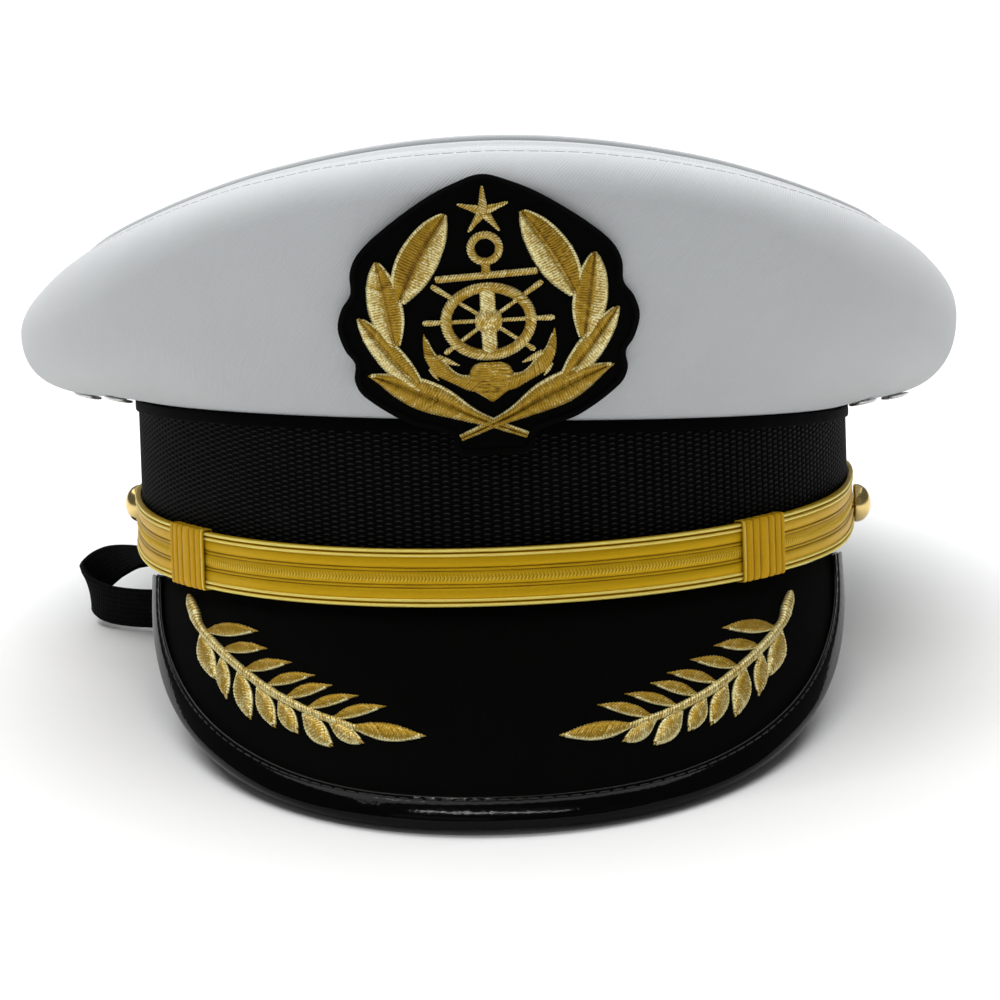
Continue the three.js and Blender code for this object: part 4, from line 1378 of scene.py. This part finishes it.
@dataclass(frozen=True)
class Needle:
    """Works strokes of gold thread on a surface."""

    thread: float = 0.62
    foot: float = 0.12
    # Shares of the half width at which a stroke has columns, from its right edge to its left.
    columns: Sequence[float] = (-1, -0.94, -0.8, -0.55, -0.28, -0.1, 0, 0.1, 0.28, 0.55, 0.8, 0.94, 1)

    def work(self, piece: Workpiece, surface: Surface, stroke: Stroke, seed: int) -> None:
        """Embroider one stroke, and then the cords along its edges.

        Args:
            piece: The mesh it is added to.
            surface: Puts a flat place and a height on the cloth.
            stroke: The stroke.
            seed: Number that sets its small unevenness.
        """
        rng = np.random.default_rng(seed)
        stitch, closed = stroke.stitch, stroke.closed
        line = smooth_line(stroke.stations, self.thread / 4, closed)
        place, width = line[:, :2], np.maximum(line[:, 2], 0.02)
        ahead = ahead_of(place, closed)
        side = np.stack([-ahead[:, 1], ahead[:, 0]], axis=1) / (np.hypot(*ahead.T) + 1e-9)[:, None]
        along = np.arange(len(line)) * self.thread / 4
        if closed:
            along = along * round(along[-1] / self.thread) * self.thread / (along[-1] + self.thread / 4)
        q = np.array(self.columns, float)
        shape, inner, half = np.abs(q), np.abs(q) < 1, width / 2
        lean = stroke.slant * shape * half[:, None] * (1.0 if stitch is Stitch.LEAF else np.sign(q))
        phase = 2 * np.pi * (along[:, None] - lean) / self.thread
        number = np.floor(phase / (2 * np.pi)).astype(int) - int(phase.min() / (2 * np.pi)) + 2
        jitter = rng.normal(0, 1, number.max() + 3)[number]
        ridge = 0.5 + 0.5 * np.cos(phase)
        if stitch is Stitch.LEAF:
            body = np.clip((1 - np.abs(2 * shape - 0.95) ** 2.6) * 0.85 + 0.06, 0, 1)
        else:
            body = np.sqrt(np.clip(1 - shape**2.6, 0, 1))
        body = np.where(inner, np.maximum(body, 0.15), 0.0)
        fat = np.clip(width / 2.2, 0.35, 1.0)[:, None]
        relief = 0.17 * (ridge - 0.5) * inner
        rim = 0.16 if stitch in (Stitch.ROUGH, Stitch.LEAF) else 0.1
        swing = 0.38 if stitch is Stitch.CORD else 0.32
        # Painted light: each half's painted lightness, a painted highlight on each stitch's crest and on the
        # edge stitches, and random jitter.
        tone = (np.where(q < 0, *stroke.tones) + swing * (ridge - 0.5)
                + (shape > 0.75) * rim * (0.4 + 0.6 * ridge) + 0.06 * jitter)
        if stitch is Stitch.LEAF:
            # Painted shade along the leaf's vein.
            tone = tone - 0.16 * (shape < 0.12)
        if stitch is Stitch.ROUGH:
            bumps = rng.normal(0, 1, (len(line) // 4 + 2, len(q)))
            grain = np.repeat(bumps, 4, axis=0)[: len(line)] * (shape < 0.75)
            relief = relief * 0.7 + 0.08 * grain
            # The raised grain is painted lighter, a painted highlight on a random grain.
            tone = tone + 0.07 * grain
        height = self.foot + stroke.lift * fat * body + relief + 0.03 * jitter * inner
        height[:, [0, -1]] = 0.0
        frayed = (0.11 + 0.07 * jitter) * (ridge - 0.4) * (shape > 0.9) * np.clip(half, 0, 1)[:, None]
        reach = half[:, None] * q + np.sign(q) * frayed
        u, v = np.moveaxis(place[:, None] + side[:, None] * reach[..., None], -1, 0)
        piece.grid(surface(u, v, height), Joined.BOTH if closed else Joined.SECTION, np.clip(tone, 0, 1))
        thick = min(0.95, 0.24 * float(width.max()))
        for edge, light in zip((-1, 1), stroke.corded):
            if light:
                cord = place + side * (edge * (half - 0.3 * thick))[:, None]
                stations = np.column_stack([cord, np.full(len(cord), thick)])[half > 0.35][::6]
                lift = 0.81 * stroke.lift * float(fat.max()) + 0.35
                self.work(piece, surface, Stroke(stations, lift, Stitch.CORD, (light, light), slant=0.3),
                          seed + 7)


NEEDLE = Needle()

# Shares of a leaf's length, and of its greatest width there.
BROAD = ((0, 0.3), (0.1, 0.58), (0.25, 0.88), (0.42, 1.0), (0.6, 0.94), (0.78, 0.74), (0.92, 0.4), (1, 0.1))
SHARP = ((0, 0.24), (0.12, 0.5), (0.28, 0.86), (0.44, 1.0), (0.6, 0.9), (0.76, 0.6), (0.9, 0.26), (1, 0.05))


def leaf(foot: Pair, tip: Pair, width: float, bow: float, taper: Rows = BROAD) -> list[tuple[float, ...]]:
    """Stations of a pointed leaf.

    Args:
        foot: Where it starts.
        tip: Where it ends.
        width: Its greatest width.
        bow: How far its middle bows to its left.
        taper: Shares of its greatest width along it.

    Returns:
        Places and widths from foot to tip.
    """
    start, ahead = np.array(foot), np.subtract(tip, foot)
    left = np.array([-ahead[1], ahead[0]]) / np.hypot(*ahead)
    return [(*(start + ahead * share + left * bow * 4 * share * (1 - share)), width * full)
            for share, full in taper]


def ring(middle: float, radii: Pair, width: float, count: int) -> list[tuple[float, ...]]:
    """Stations of an oval ring round a place on the badge's middle line.

    Args:
        middle: How high its middle is over the hub.
        radii: Its radius across and up.
        width: Width of the stroke.
        count: Number of stations.

    Returns:
        Places and widths once round.
    """
    turns = np.linspace(0, 2 * math.pi, count, endpoint=False)
    return [(radii[0] * math.sin(turn), middle + radii[1] * math.cos(turn), width) for turn in turns]


# --- Peak ---


@dataclass(frozen=True)
class Peak(Assembly):
    """Black felt peak with a glossy bound edge and two gold sprays of leaves."""

    slope: float = 56.0
    board: float = 2.2
    root_inset: float = 0.9
    root_drop: float = 1.0
    half_width: float = 81.0
    horn_height: float = 2.0
    drop: float = 45.65
    side_power: float = 2.75
    tip_power: float = 3.02
    clear: float = 0.4
    wall: float = 0.8
    nose: float = 2.3
    leg: float = 7.0
    seam: float = 1.15
    stitch: float = 3.2
    thread: float = 0.2
    # Foot, tip, width and bow of each leaf of a spray: those over its stem, those under it, and the last.
    over: Sequence[tuple] = (
        ((64.7, -8.8), (51.9, -7.5), 2.8, -0.5), ((60.6, -12.4), (49.7, -11.1), 2.3, -0.5),
        ((55.4, -16.2), (44.1, -13.6), 2.3, -0.5), ((50.0, -18.9), (38.8, -16.0), 2.2, -0.6),
        ((45.6, -21.3), (34.9, -17.9), 2.3, -0.6), ((40.9, -23.2), (29.1, -19.8), 2.1, -0.6),
        ((35.3, -25.0), (23.0, -21.8), 2.3, -0.6))
    under: Sequence[tuple] = (
        ((65.5, -9.7), (61.9, -18.9), 3.9, 0.7), ((60.5, -14.0), (59.4, -22.7), 3.1, 0.3),
        ((56.2, -16.6), (53.6, -26.4), 4.0, 0.5), ((51.7, -19.3), (47.9, -27.6), 3.7, 0.3),
        ((46.8, -22.0), (42.7, -28.4), 3.6, 0.3), ((41.2, -24.1), (34.9, -30.5), 4.1, 0.5),
        ((35.4, -25.5), (28.0, -29.5), 3.2, 0.4))
    last: tuple = ((30.5, -26.2), (14.5, -27.7), 3.5, 0.1)
    stem: Rows = (
        (68.9, -1.3, 0.9), (68.4, -2.6, 1.9), (67.7, -4.6, 2.5), (66.0, -8.0, 2.0), (61.0, -12.4, 2.0),
        (56.0, -15.9, 1.9), (50.0, -19.5, 1.9), (45.0, -21.8, 1.8), (39.0, -24.0, 1.6), (34.0, -25.4, 1.5),
        (29.7, -26.5, 1.2))

    @property
    def down_slope(self) -> Array:
        """Direction down the peak."""
        sine, cosine = sine_cosine(self.slope)
        return np.array([0.0, -cosine, -sine])

    def root(self, angle: Array) -> Array:
        """Middle of the board where it leaves the band."""
        return HEAD.point(angle, -self.root_inset, EDGES.bottom(angle) - self.root_drop)

    def around(self, angle: Array) -> Array:
        """Direction round the head in the board, per degree."""
        return self.root(angle + 0.5) - self.root(angle - 0.5)

    def point(self, angle: Array, down: Array, height: Array) -> Array:
        """Places at a distance down the slope and a height over the middle of the board."""
        angle, down, height = spread(angle, down, height)
        out = -unit(np.cross(self.around(angle), self.down_slope))
        return self.root(angle) + self.down_slope * down[..., None] + out * height[..., None]

    def from_front(self, x: Array, z: Array) -> tuple[Array, Array]:
        """Angle and distance down the slope of what is seen from the front at x and z."""
        angle = np.degrees(np.arcsin(np.clip(x / (HEAD.half_width - self.root_inset), -1, 1)))
        return angle, (self.root(angle)[..., 2] - z) / math.sin(math.radians(self.slope))

    def edge(self, turn: Array) -> tuple[Array, Array]:
        """The outer edge, for turns from -90 at one horn to 90 at the other."""
        turn = np.radians(turn)
        x = self.half_width * signed_power(np.sin(turn), 2 / self.side_power)
        fall = np.clip(np.cos(turn), 0, 1) ** (2 / self.tip_power)
        return self.from_front(x, self.horn_height - (self.drop + self.horn_height) * fall)

    def inside(self, turn: Array, inset: Array) -> tuple[Array, Array]:
        """Places that far inside the outer edge.

        Args:
            turn: Where along the edge.
            inset: Distance inwards on the board.

        Returns:
            Their angle and their distance down the slope.
        """
        turn, inset = spread(turn, inset)
        angle, down = self.edge(turn)
        before, after = (self.point(*self.edge(np.clip(turn + step, -90, 90)), 0.0) for step in (-0.2, 0.2))
        around = self.around(angle)
        inwards = unit(np.cross(after - before, np.cross(around, self.down_slope))) * inset[..., None]
        shared = around @ self.down_slope
        falls = inwards @ self.down_slope
        turned = ((inwards * around).sum(-1) - falls * shared) / ((around**2).sum(-1) - shared**2)
        return angle + turned, np.maximum(down + falls - turned * shared, 0.0)

    def turns(self, steps: int) -> Array:
        """Turns whose places on the outer edge are about evenly spaced."""
        share = np.linspace(-1, 1, steps + 1)
        near, far = np.abs(share) ** (self.side_power / 2), (1 - np.abs(share)) ** (self.tip_power / 2)
        return np.sign(share) * 90 * near / (near + far)

    def make_board(self) -> None:
        """Shape the felt-covered board and its lining."""
        angle, down = self.inside(self.turns(150), self.wall + 2 * self.clear)
        share = np.linspace(0, 1, 22)
        top = self.point(angle[:, None], down[:, None] * share, self.board / 2)
        under = self.point(angle[:, None], down[:, None] * share[::-1], -self.board / 2)
        work = Workpiece("peak_felt")
        work.grid(np.concatenate([top, under], axis=1), Joined.SECTION,
                  finishes=[0] * len(share) + [1] * len(share))
        work.close()
        work.finished([self.wardrobe.felt, self.wardrobe.sweatband], "peak_board")

    def section(self) -> tuple[Array, Array]:
        """The binding's outline: distance inside the peak's edge, and height over the board's middle."""
        inner, leg = self.board / 2 + self.clear, self.leg
        outer, slot = inner + self.wall, self.wall + self.clear
        fold = [(self.nose * (1 - math.cos(turn)), outer * math.sin(turn))
                for turn in np.radians(np.linspace(90, -90, 15))]
        # The upper leg dips along its seam.
        upper = [(leg, inner + 0.25), (leg - 0.15, outer - 0.25), (leg - 0.6, outer - 0.12),
                 (leg - self.seam, outer - 0.3), (leg - 1.7, outer - 0.08), (leg - 2.6, outer - 0.02),
                 (3.3, outer)]
        lower = [(3.4, -outer), (leg - 0.5, -outer), (leg, -outer + 0.3), (leg, -inner)]
        hollow = [(3.0, -inner), (slot, -inner), (slot, -inner / 2), (slot, inner / 2), (slot, inner),
                  (3.0, inner), (leg, inner)]
        return np.array([*upper, *fold, *lower, *hollow]).T

    def make_binding(self) -> None:
        """Fold the glossy binding over the edge and sew it down."""
        turns, outer = self.turns(260), self.board / 2 + self.clear + self.wall
        inset, rise = (column[None] for column in self.section())
        angle, down = self.inside(turns[:, None], inset)
        length = running(gaps(self.point(*self.inside(turns, 0.0), 0.0)))[:, None]
        pulls = bell(inset, self.leg - 1.4, 1.1) * (rise > 0)
        pucker = 0.05 * np.cos(2 * np.pi * length / self.stitch) * pulls
        slow = 0.12 * np.sin(length / 9.0) * (rise > outer - self.wall + 0.2) * (inset > 1.5)
        work = Workpiece("peak_binding_fold")
        work.grid(self.point(angle, down, rise + pucker + slow), Joined.SECTION)
        work.close()
        seam = self.inside(self.turns(200)[4:-4], self.leg - self.seam)
        for side in (1, -1):
            places = self.point(*seam, side * (outer - 0.28))
            raised = self.point(*seam, side * (outer + 1.0)) - places
            work.stitches(places, raised, self.stitch, self.thread, finish=1)
        work.finished([self.wardrobe.binding, self.wardrobe.black_stitch], "peak_binding",
                      70)

    def on_felt(self, x: Array, z: Array, height: Array) -> Array:
        """Put a place of a spray, as it is seen from the front, on the felt."""
        return self.point(*self.from_front(x - 2.1, z - 0.022 * x), self.board / 2 + height)

    def make_spray(self, node: str, side: int) -> None:
        """Embroider one spray of leaves.

        Args:
            node: Its CAD node.
            side: -1 for the wearer's right, 1 for the left.
        """
        work = Workpiece(node + "_gold")
        # Painted light: the leaves over the stem, and the last one, are painted darker with a painted
        # highlight along one edge; those under it are painted lighter with highlights along both edges.
        upper, lower = ((0.4, 0.46), (0.0, 1.0)), ((0.53, 0.6), (0.85, 0.92))
        looks = [upper] * len(self.over) + [lower] * len(self.under) + [upper]
        for number, (line, look) in enumerate(zip((*self.over, *self.under, self.last), looks)):
            stroke = Stroke(leaf(*line, SHARP), 0.9, Stitch.SATIN, *look, slant=0.9 * side)
            NEEDLE.work(work, self.on_felt, stroke.on_side(side), 40 + number)
        stem = [(side * x, z, width) for x, z, width in self.stem]
        NEEDLE.work(work, self.on_felt, Stroke(stem, 1.3, Stitch.CORD, (0.74, 0.66), slant=0.5 * side), 3)
        work.finished([self.wardrobe.thread], node, 180)

    def make(self) -> None:
        """Make the board, its binding and both sprays."""
        self.make_board()
        self.make_binding()
        self.make_spray("peak_spray_right", -1)
        self.make_spray("peak_spray_left", 1)


# --- Badge ---


@dataclass(frozen=True)
class Badge(Assembly):
    """Black felt patch with a star, an anchor, a ship's wheel and a wreath in gold thread."""

    hub: float = 63.9
    stretch_up: float = 0.938
    stretch_down: float = 0.985
    turn: float = 1.0
    thick: float = 2.0
    thread_gap: float = 0.21
    # Height, and how far forward of the cap's middle the patch lies there.
    lean: Rows = ((31, 103.3), (40, 104.8), (60, 111.4), (80, 118.1), (98, 122.0))
    # The patch bends round the front to this radius at its foot, and to that much more at its top.
    bend: float = 80.0
    bend_more: float = 32.0
    # Places on the wearer's left half of the patch's edge, from its top to its foot.
    outline: Rows = (
        (0, 34.1), (6, 32.3), (12.8, 28.9), (22.3, 22.2), (27.9, 16.9), (29.9, 12.5), (30.1, 7.5), (32.3, 4),
        (33.4, -0.6), (32, -5.5), (30, -8.6), (30.3, -12.5), (28.2, -16.3), (19.2, -22.4), (11.4, -24.9),
        (9.1, -26.2), (9, -28.6), (7, -30.4), (0, -30.5))
    # Share of the way to the edge, distance inside the edge, and height over the back of the patch.
    section: Rows = (
        (0, 0, 2.0), (0.15, 0, 2.0), (0.3, 0, 2.02), (0.45, 0, 2.0), (0.6, 0, 2.0), (0.72, 0, 2.0),
        (0.82, 0, 2.0), (0.9, 0, 1.98), (1, 2.2, 1.95), (1, 1.75, 1.85), (1, 1.5, 2.2), (1, 1.15, 2.42),
        (1, 0.8, 2.2), (1, 0.55, 1.8), (1, 0.35, 1.75), (1, 0.1, 1.4), (1, 0.0, 0.9), (1, 0.15, 0.2),
        (1, 0.4, 0.0), (0.8, 0, 0.0), (0.5, 0, 0.0), (0.2, 0, 0.0), (0, 0, 0.0))

    def place(self, u: Array, v: Array, height: Array) -> Array:
        """Put places of the flat badge on the front of the cap.

        Args:
            u: Distance to the wearer's left of the hub.
            v: Distance over the hub.
            height: Height over the back of the patch.

        Returns:
            The places, in the cap's frame.
        """
        u, v, height = spread(u, v, height)
        sine, cosine = sine_cosine(self.turn)
        across, rise = u * cosine - v * sine, u * sine + v * cosine
        z = self.hub + rise * np.where(rise > 0, self.stretch_up, self.stretch_down)
        forward = hermite([row[0] for row in self.lean], [[row[1]] for row in self.lean], z.ravel())
        radius = self.bend + self.bend_more * np.clip((z - 40) / 50, 0, 1)
        return np.stack([across, across**2 / (2 * radius) - forward.reshape(z.shape) - height, z], axis=-1)

    def on_patch(self, u: Array, v: Array, height: Array) -> Array:
        """Put a place of the embroidery on the patch."""
        return self.place(u, v, self.thick + self.thread_gap + height)

    def make_patch(self) -> None:
        """Cut the patch and cord its edge."""
        edge = [*self.outline, *[(-u, v) for u, v in self.outline[-2:0:-1]]]
        ring_line = smooth_line(edge, 1.0, closed=True)
        ahead = ahead_of(ring_line, closed=True)
        outwards = unit(np.stack([-ahead[:, 1], ahead[:, 0]], axis=1))
        twist = 0.07 * np.cos(np.arange(len(ring_line)) * 2.1)
        columns = [self.place(*(ring_line * share - outwards * inset).T, height + twist * (height > 2.1))
                   for share, inset, height in self.section]
        work = Workpiece("badge_felt")
        work.grid(np.stack(columns, axis=1), Joined.ROUND)
        work.finished([self.wardrobe.felt], "badge_patch", 75)

    def embroider(self, node: str, strokes: Sequence[Stroke]) -> None:
        """Work one motif of the badge in place of its CAD node."""
        work = Workpiece(node + "_gold")
        for number, stroke in enumerate(strokes):
            NEEDLE.work(work, self.on_patch, stroke, number)
        work.finished([self.wardrobe.thread], node, 180)

    def make_star(self) -> None:
        """Work the five-pointed star."""
        strokes = []
        for point in range(5):
            sine, cosine = sine_cosine(72 * point)
            ray = [(distance * sine, 25.5 + distance * cosine, width)
                   for distance, width in ((0.0, 1.7), (1.4, 2.0), (3.3, 1.3), (5.1, 0.8), (5.8, 0.4))]
            strokes.append(Stroke(ray, 1.0, Stitch.CORD, (0.62, 0.48)))
        self.embroider("badge_star", strokes)

    def make_anchor(self) -> None:
        """Work the anchor's ring, shank and stock, and its arms under the wheel."""
        stock = ((-11.2, 10.05, 1.2), (-10.7, 10.1, 1.6), (0, 10.6, 1.6), (10.7, 11.1, 1.6),
                 (11.2, 11.15, 1.2))
        self.embroider("badge_anchor_head", [
            Stroke(ring(16.9, (3.1, 3.1), 1.8, 12), 0.95, Stitch.SATIN, (0.5, 0.62), closed=True),
            Stroke(((0, 14.1, 2.0), (0, 12.5, 1.9), (0, 10.7, 2.2)), 0.9, Stitch.SATIN, (0.4, 0.45)),
            Stroke(stock, 0.95, Stitch.CORD, (0.5, 0.66))])
        crown = ((0, -9.4, 4.6), (0, -9.8, 7.2), (0, -10.6, 8.7), (0, -12.0, 10.0), (0, -13.3, 12.2),
                 (0, -14.6, 10.8), (0, -16.0, 7.2), (0, -17.3, 3.6), (0, -18.3, 0.8))
        arm = ((3.0, -14.4, 3.4), (5.0, -13.9, 3.4), (7.1, -13.2, 2.5), (9.2, -12.0, 2.7),
               (11.2, -10.3, 3.5), (13.2, -7.6, 2.5), (14.0, -4.8, 1.4), (14.4, -2.4, 0.2))
        barb = ((11.6, -7.8, 1.6), (9.3, -8.8, 1.3), (6.9, -9.8, 0.25))
        spur = ((13.3, -10.2, 1.2), (12.5, -11.8, 0.9), (11.6, -13.0, 0.25))
        half = (Stroke(arm, 0.95, Stitch.SATIN, (0.38, 0.42), (0.0, 0.75)),
                Stroke(barb, 0.9, Stitch.CORD, (0.62, 0.62)), Stroke(spur, 0.7, Stitch.CORD, (0.62, 0.62)))
        self.embroider("badge_anchor_arms", [
            Stroke(crown, 1.05, Stitch.ROUGH, (0.38, 0.38)),
            *(stroke.on_side(side) for side in (-1, 1) for stroke in half)])

    def make_wheel(self) -> None:
        """Work the ship's wheel: three spokes with handles at both ends, the shank behind, rim and hub."""
        strokes = []
        for degrees, back, ahead in ((0, 14.5, 14.5), (35.3, 12.2, 14.95), (-35.6, 14.95, 12.2)):
            dv, du = sine_cosine(degrees)
            spoke = [(reach * du, reach * dv, width) for reach, width in (
                (-back, 0.7), (-back + 0.8, 1.35), (-10.6, 1.1), (-6, 0.95), (0, 0.95), (6, 0.95),
                (10.6, 1.1), (ahead - 0.8, 1.35), (ahead, 0.7))]
            strokes.append(Stroke(spoke, 0.85, Stitch.CORD, (0.55, 0.68)))
        hub = ((-2.9, 0, 2.4), (-2.2, 0, 4.4), (-1.2, 0, 5.6), (0, 0, 5.8), (1.2, 0, 5.6), (2.2, 0, 4.4),
               (2.9, 0, 2.4))
        self.embroider("badge_wheel", [
            *strokes, Stroke(((0, -8.4, 3.4), (0, 0, 3.5), (0, 8.0, 3.4)), 1.0, Stitch.CORD, (0.66, 0.72)),
            Stroke(ring(0, (9.35, 7.75), 2.45, 16), 1.1, Stitch.SATIN, (0.46, 0.6), closed=True),
            Stroke(hub, 1.35, Stitch.ROUGH, (0.58, 0.62))])

    def make_wreath(self) -> None:
        """Work both halves of the wreath, whose stems cross under the wheel, the left one over the right."""
        stem = ((-7.4, -26.4, 1.4), (0, -23.4, 2.0), (4.9, -21.3, 3.3), (11.0, -18.1, 6.3),
                (15.6, -16.1, 7.0), (20.4, -13.9, 5.5), (25.0, -12.0, 2.0), (27.2, -11.3, 0.3))
        inner = leaf((19.3, 5.2), (8.2, 25.1), 8.9, -0.6)
        outer = leaf((20.9, -4.9), (24.0, 14.8), 7.6, -0.3)
        lower = leaf((15.5, -14.9), (28.7, 1.8), 5.8, -0.5)
        strokes = []
        # Each leaf has a lit half and a shaded half, painted, and a painted highlight along one edge.
        for side, stem_lift in ((-1, 1.05), (1, 1.25)):
            for stations, lift, tones, corded in (
                    (inner, 1.1, (0.3, 0.68), (0.85, 0.0)), (outer, 1.1, (0.68, 0.34), (0.0, 0.85)),
                    (lower, 1.1, (0.7, 0.36), (0.0, 0.85)), (stem, stem_lift, (0.42, 0.42), (0.0, 0.8))):
                strokes.append(Stroke(stations, lift, Stitch.LEAF, tones, corded).on_side(side))
        self.embroider("badge_wreath", strokes)

    def make(self) -> None:
        """Make the patch and every motif on it."""
        self.make_patch()
        self.make_star()
        self.make_anchor()
        self.make_wheel()
        self.make_wreath()


# --- Chin elastic ---


@dataclass(frozen=True)
class ChinElastic(Assembly):
    """Flat black elastic, sewn inside the band at both ends, with its slack on the floor."""

    width: float = 10.0
    thick: float = 1.2
    # Middle of the ribbon on the floor's frame, and the direction across it.
    route: Rows = (
        (-77.8, 33.9, 25, 0.27, 0.96, 0), (-77.8, 33.9, 17, 0.27, 0.96, 0),
        (-77.9, 33.9, 14, 0.25, 0.96, -0.1), (-80, 33.6, 11.7, 0.2, 0.96, -0.15),
        (-86, 32.6, 11.9, 0.15, 0.98, -0.08),
        (-93, 30.5, 13, 0.05, 0.95, 0.24), (-98, 27.8, 12.6, -0.1, 0.75, 0.6),
        (-101.5, 25.2, 11, -0.25, 0.42, 0.86), (-103.2, 22.5, 9.4, -0.3, 0.2, 0.93),
        (-102.6, 17.5, 7.3, -0.12, 0, 1), (-97, 12.5, 6, 0, 0, 1), (-85, 9.5, 5.6, 0, 0, 1),
        (-60, 9, 5.6, 0, 0, 1), (-30, 11.5, 5.6, 0, 0, 1), (0, 14.5, 5.6, 0, 0, 1), (30, 18, 5.6, 0, 0, 1),
        (56, 23, 5.8, 0, 0.1, 1), (71, 28.5, 8, -0.1, 0.5, 0.8), (76.8, 33, 13, -0.25, 0.97, 0.1),
        (77.8, 33.9, 18, -0.27, 0.96, 0), (77.8, 33.9, 25, -0.27, 0.96, 0))
    # Share of the width and share of the thickness of one face's columns, with a bead along each edge.
    face: Rows = ((-0.5, 0.2), (-0.49, 0.42), (-0.45, 0.5), (-0.3, 0.44), (-0.15, 0.44), (0, 0.44),
                  (0.15, 0.44), (0.3, 0.44), (0.45, 0.5), (0.49, 0.42), (0.5, 0.2))

    def make(self) -> None:
        """Weave the ribbon along its route."""
        rows = np.array(self.route, float)
        places = running(np.sqrt(gaps(rows[:, :3])))
        line = hermite(places, rows, np.linspace(0, places[-1], 420))
        middle = line[:, :3] + np.array([0.0, CAP.forward, 0.0])
        ahead = unit(ahead_of(middle))
        across = unit(line[:, 3:] - ahead * (line[:, 3:] * ahead).sum(-1, keepdims=True))
        out = np.cross(ahead, across)
        wide, thick = np.array([*self.face, *((share, -deep) for share, deep in self.face[::-1])]).T
        points = (middle[:, None] + across[:, None] * (wide * self.width)[None, :, None]
                  + out[:, None] * (thick * self.thick)[None, :, None])
        work = Workpiece("elastic_ribbon")
        work.grid(CAP.unstand(points), Joined.SECTION)
        work.close()
        work.finished([self.wardrobe.elastic], "elastic_strap")
        LOG.info("chin elastic: %.0f mm long", gaps(middle).sum())


# --- Studio ---


@dataclass(frozen=True)
class Studio:
    """A pale floor, soft lights and the camera.

    Its distances are in metres. The camera's target is in millimetres, in the cap's frame.
    """

    target: Triple = (1.2, 0.0, 16.0)
    elevation: float = 4.2
    roll: float = -1.9
    distance: float = 1.0
    lens: float = 145.08
    sensor: float = 36.0
    sight: float = 20.0
    floor_reach: float = 6.0
    floor_drop: float = 0.0004
    # Name, place, width and depth, and power in watts of each light.
    lights: Sequence[tuple] = (
        ("overhead", (-0.1, 0.75, 1.7), (3.2, 2.3), 66.0),
        ("front_fill", (-0.7, -1.6, 0.9), (1.2, 1.0), 1.2),
        ("front_fill_left", (1.0, -1.4, 0.8), (1.0, 1.0), 0.3),
        ("glint", (-0.1, -0.75, 1.6), (1.2, 0.014), 6.0),
        ("glint_high", (-0.1, 0.3, 1.75), (1.4, 0.012), 3.5))
    # Where every light points.
    lit: Triple = (0.0, 0.0, 0.05)
    sky: tuple[float, ...] = (0.97, 0.98, 1.0, 1.0)
    sky_strength: float = 0.13

    def make_camera(self) -> None:
        """Set up the camera."""
        camera = bpy.data.objects.new("camera", bpy.data.cameras.new("camera"))
        camera.data.lens = self.lens
        camera.data.sensor_width = self.sensor
        camera.data.clip_end = self.sight
        rise, roll = math.radians(self.elevation + CAP.lean), math.radians(self.roll)
        back = Vector((0.0, -math.cos(rise), math.sin(rise)))
        up = Vector((0.0, math.sin(rise), math.cos(rise)))
        right = Vector((1.0, 0.0, 0.0))
        across = right * math.cos(roll) + up * math.sin(roll)
        above = up * math.cos(roll) - right * math.sin(roll)
        place = Vector(CAP.stand(np.array(self.target))) + back * self.distance
        turn = Matrix((across, above, back)).transposed().to_4x4()
        camera.matrix_world = Matrix.Translation(place) @ turn
        bpy.context.scene.collection.objects.link(camera)
        bpy.context.scene.camera = camera

    def make_light(self, name: str, place: Triple, size: Pair, power: float) -> None:
        """Hang one soft light that shines at the cap.

        Args:
            name: Its name.
            place: Where it hangs.
            size: Its width and depth.
            power: Its power, in watts.
        """
        lamp = bpy.data.lights.new(name, "AREA")
        lamp.shape = "RECTANGLE"
        lamp.size, lamp.size_y = size
        lamp.energy = power
        holder = bpy.data.objects.new(name, lamp)
        aim = Vector(self.lit) - Vector(place)
        holder.rotation_euler = aim.to_track_quat("-Z", "Y").to_euler()
        holder.location = place
        bpy.context.scene.collection.objects.link(holder)

    def make_floor(self) -> None:
        """Lay the floor."""
        sheet = bmesh.new()
        bmesh.ops.create_grid(sheet, x_segments=8, y_segments=8, size=self.floor_reach)
        bmesh.ops.translate(sheet, vec=(0.0, 0.0, -self.floor_drop), verts=sheet.verts)
        mesh = bpy.data.meshes.new("floor")
        sheet.to_mesh(mesh)
        sheet.free()
        mesh.materials.append(Paper().material())
        floor = bpy.data.objects.new("floor", mesh)
        bpy.context.scene.collection.objects.link(floor)

    def make(self) -> None:
        """Set up the camera, the floor and the lights."""
        self.make_camera()
        self.make_floor()
        for light in self.lights:
            self.make_light(*light)
        world = bpy.data.worlds.new("studio")
        world.use_nodes = True
        background = world.node_tree.nodes["Background"]
        background.inputs[0].default_value = self.sky
        background.inputs[1].default_value = self.sky_strength
        bpy.context.scene.world = world
        bpy.context.scene.view_settings.view_transform = "Standard"


def main() -> None:
    """Build the scene."""
    logging.basicConfig(level=logging.INFO, format="%(name)s: %(message)s")
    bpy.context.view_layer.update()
    Studio().make()
    wardrobe = Wardrobe()
    for assembly in (Crown, Band, ChinStrap, Peak, Badge, ChinElastic):
        assembly(wardrobe).make()


if __name__ == "__main__":
    main()
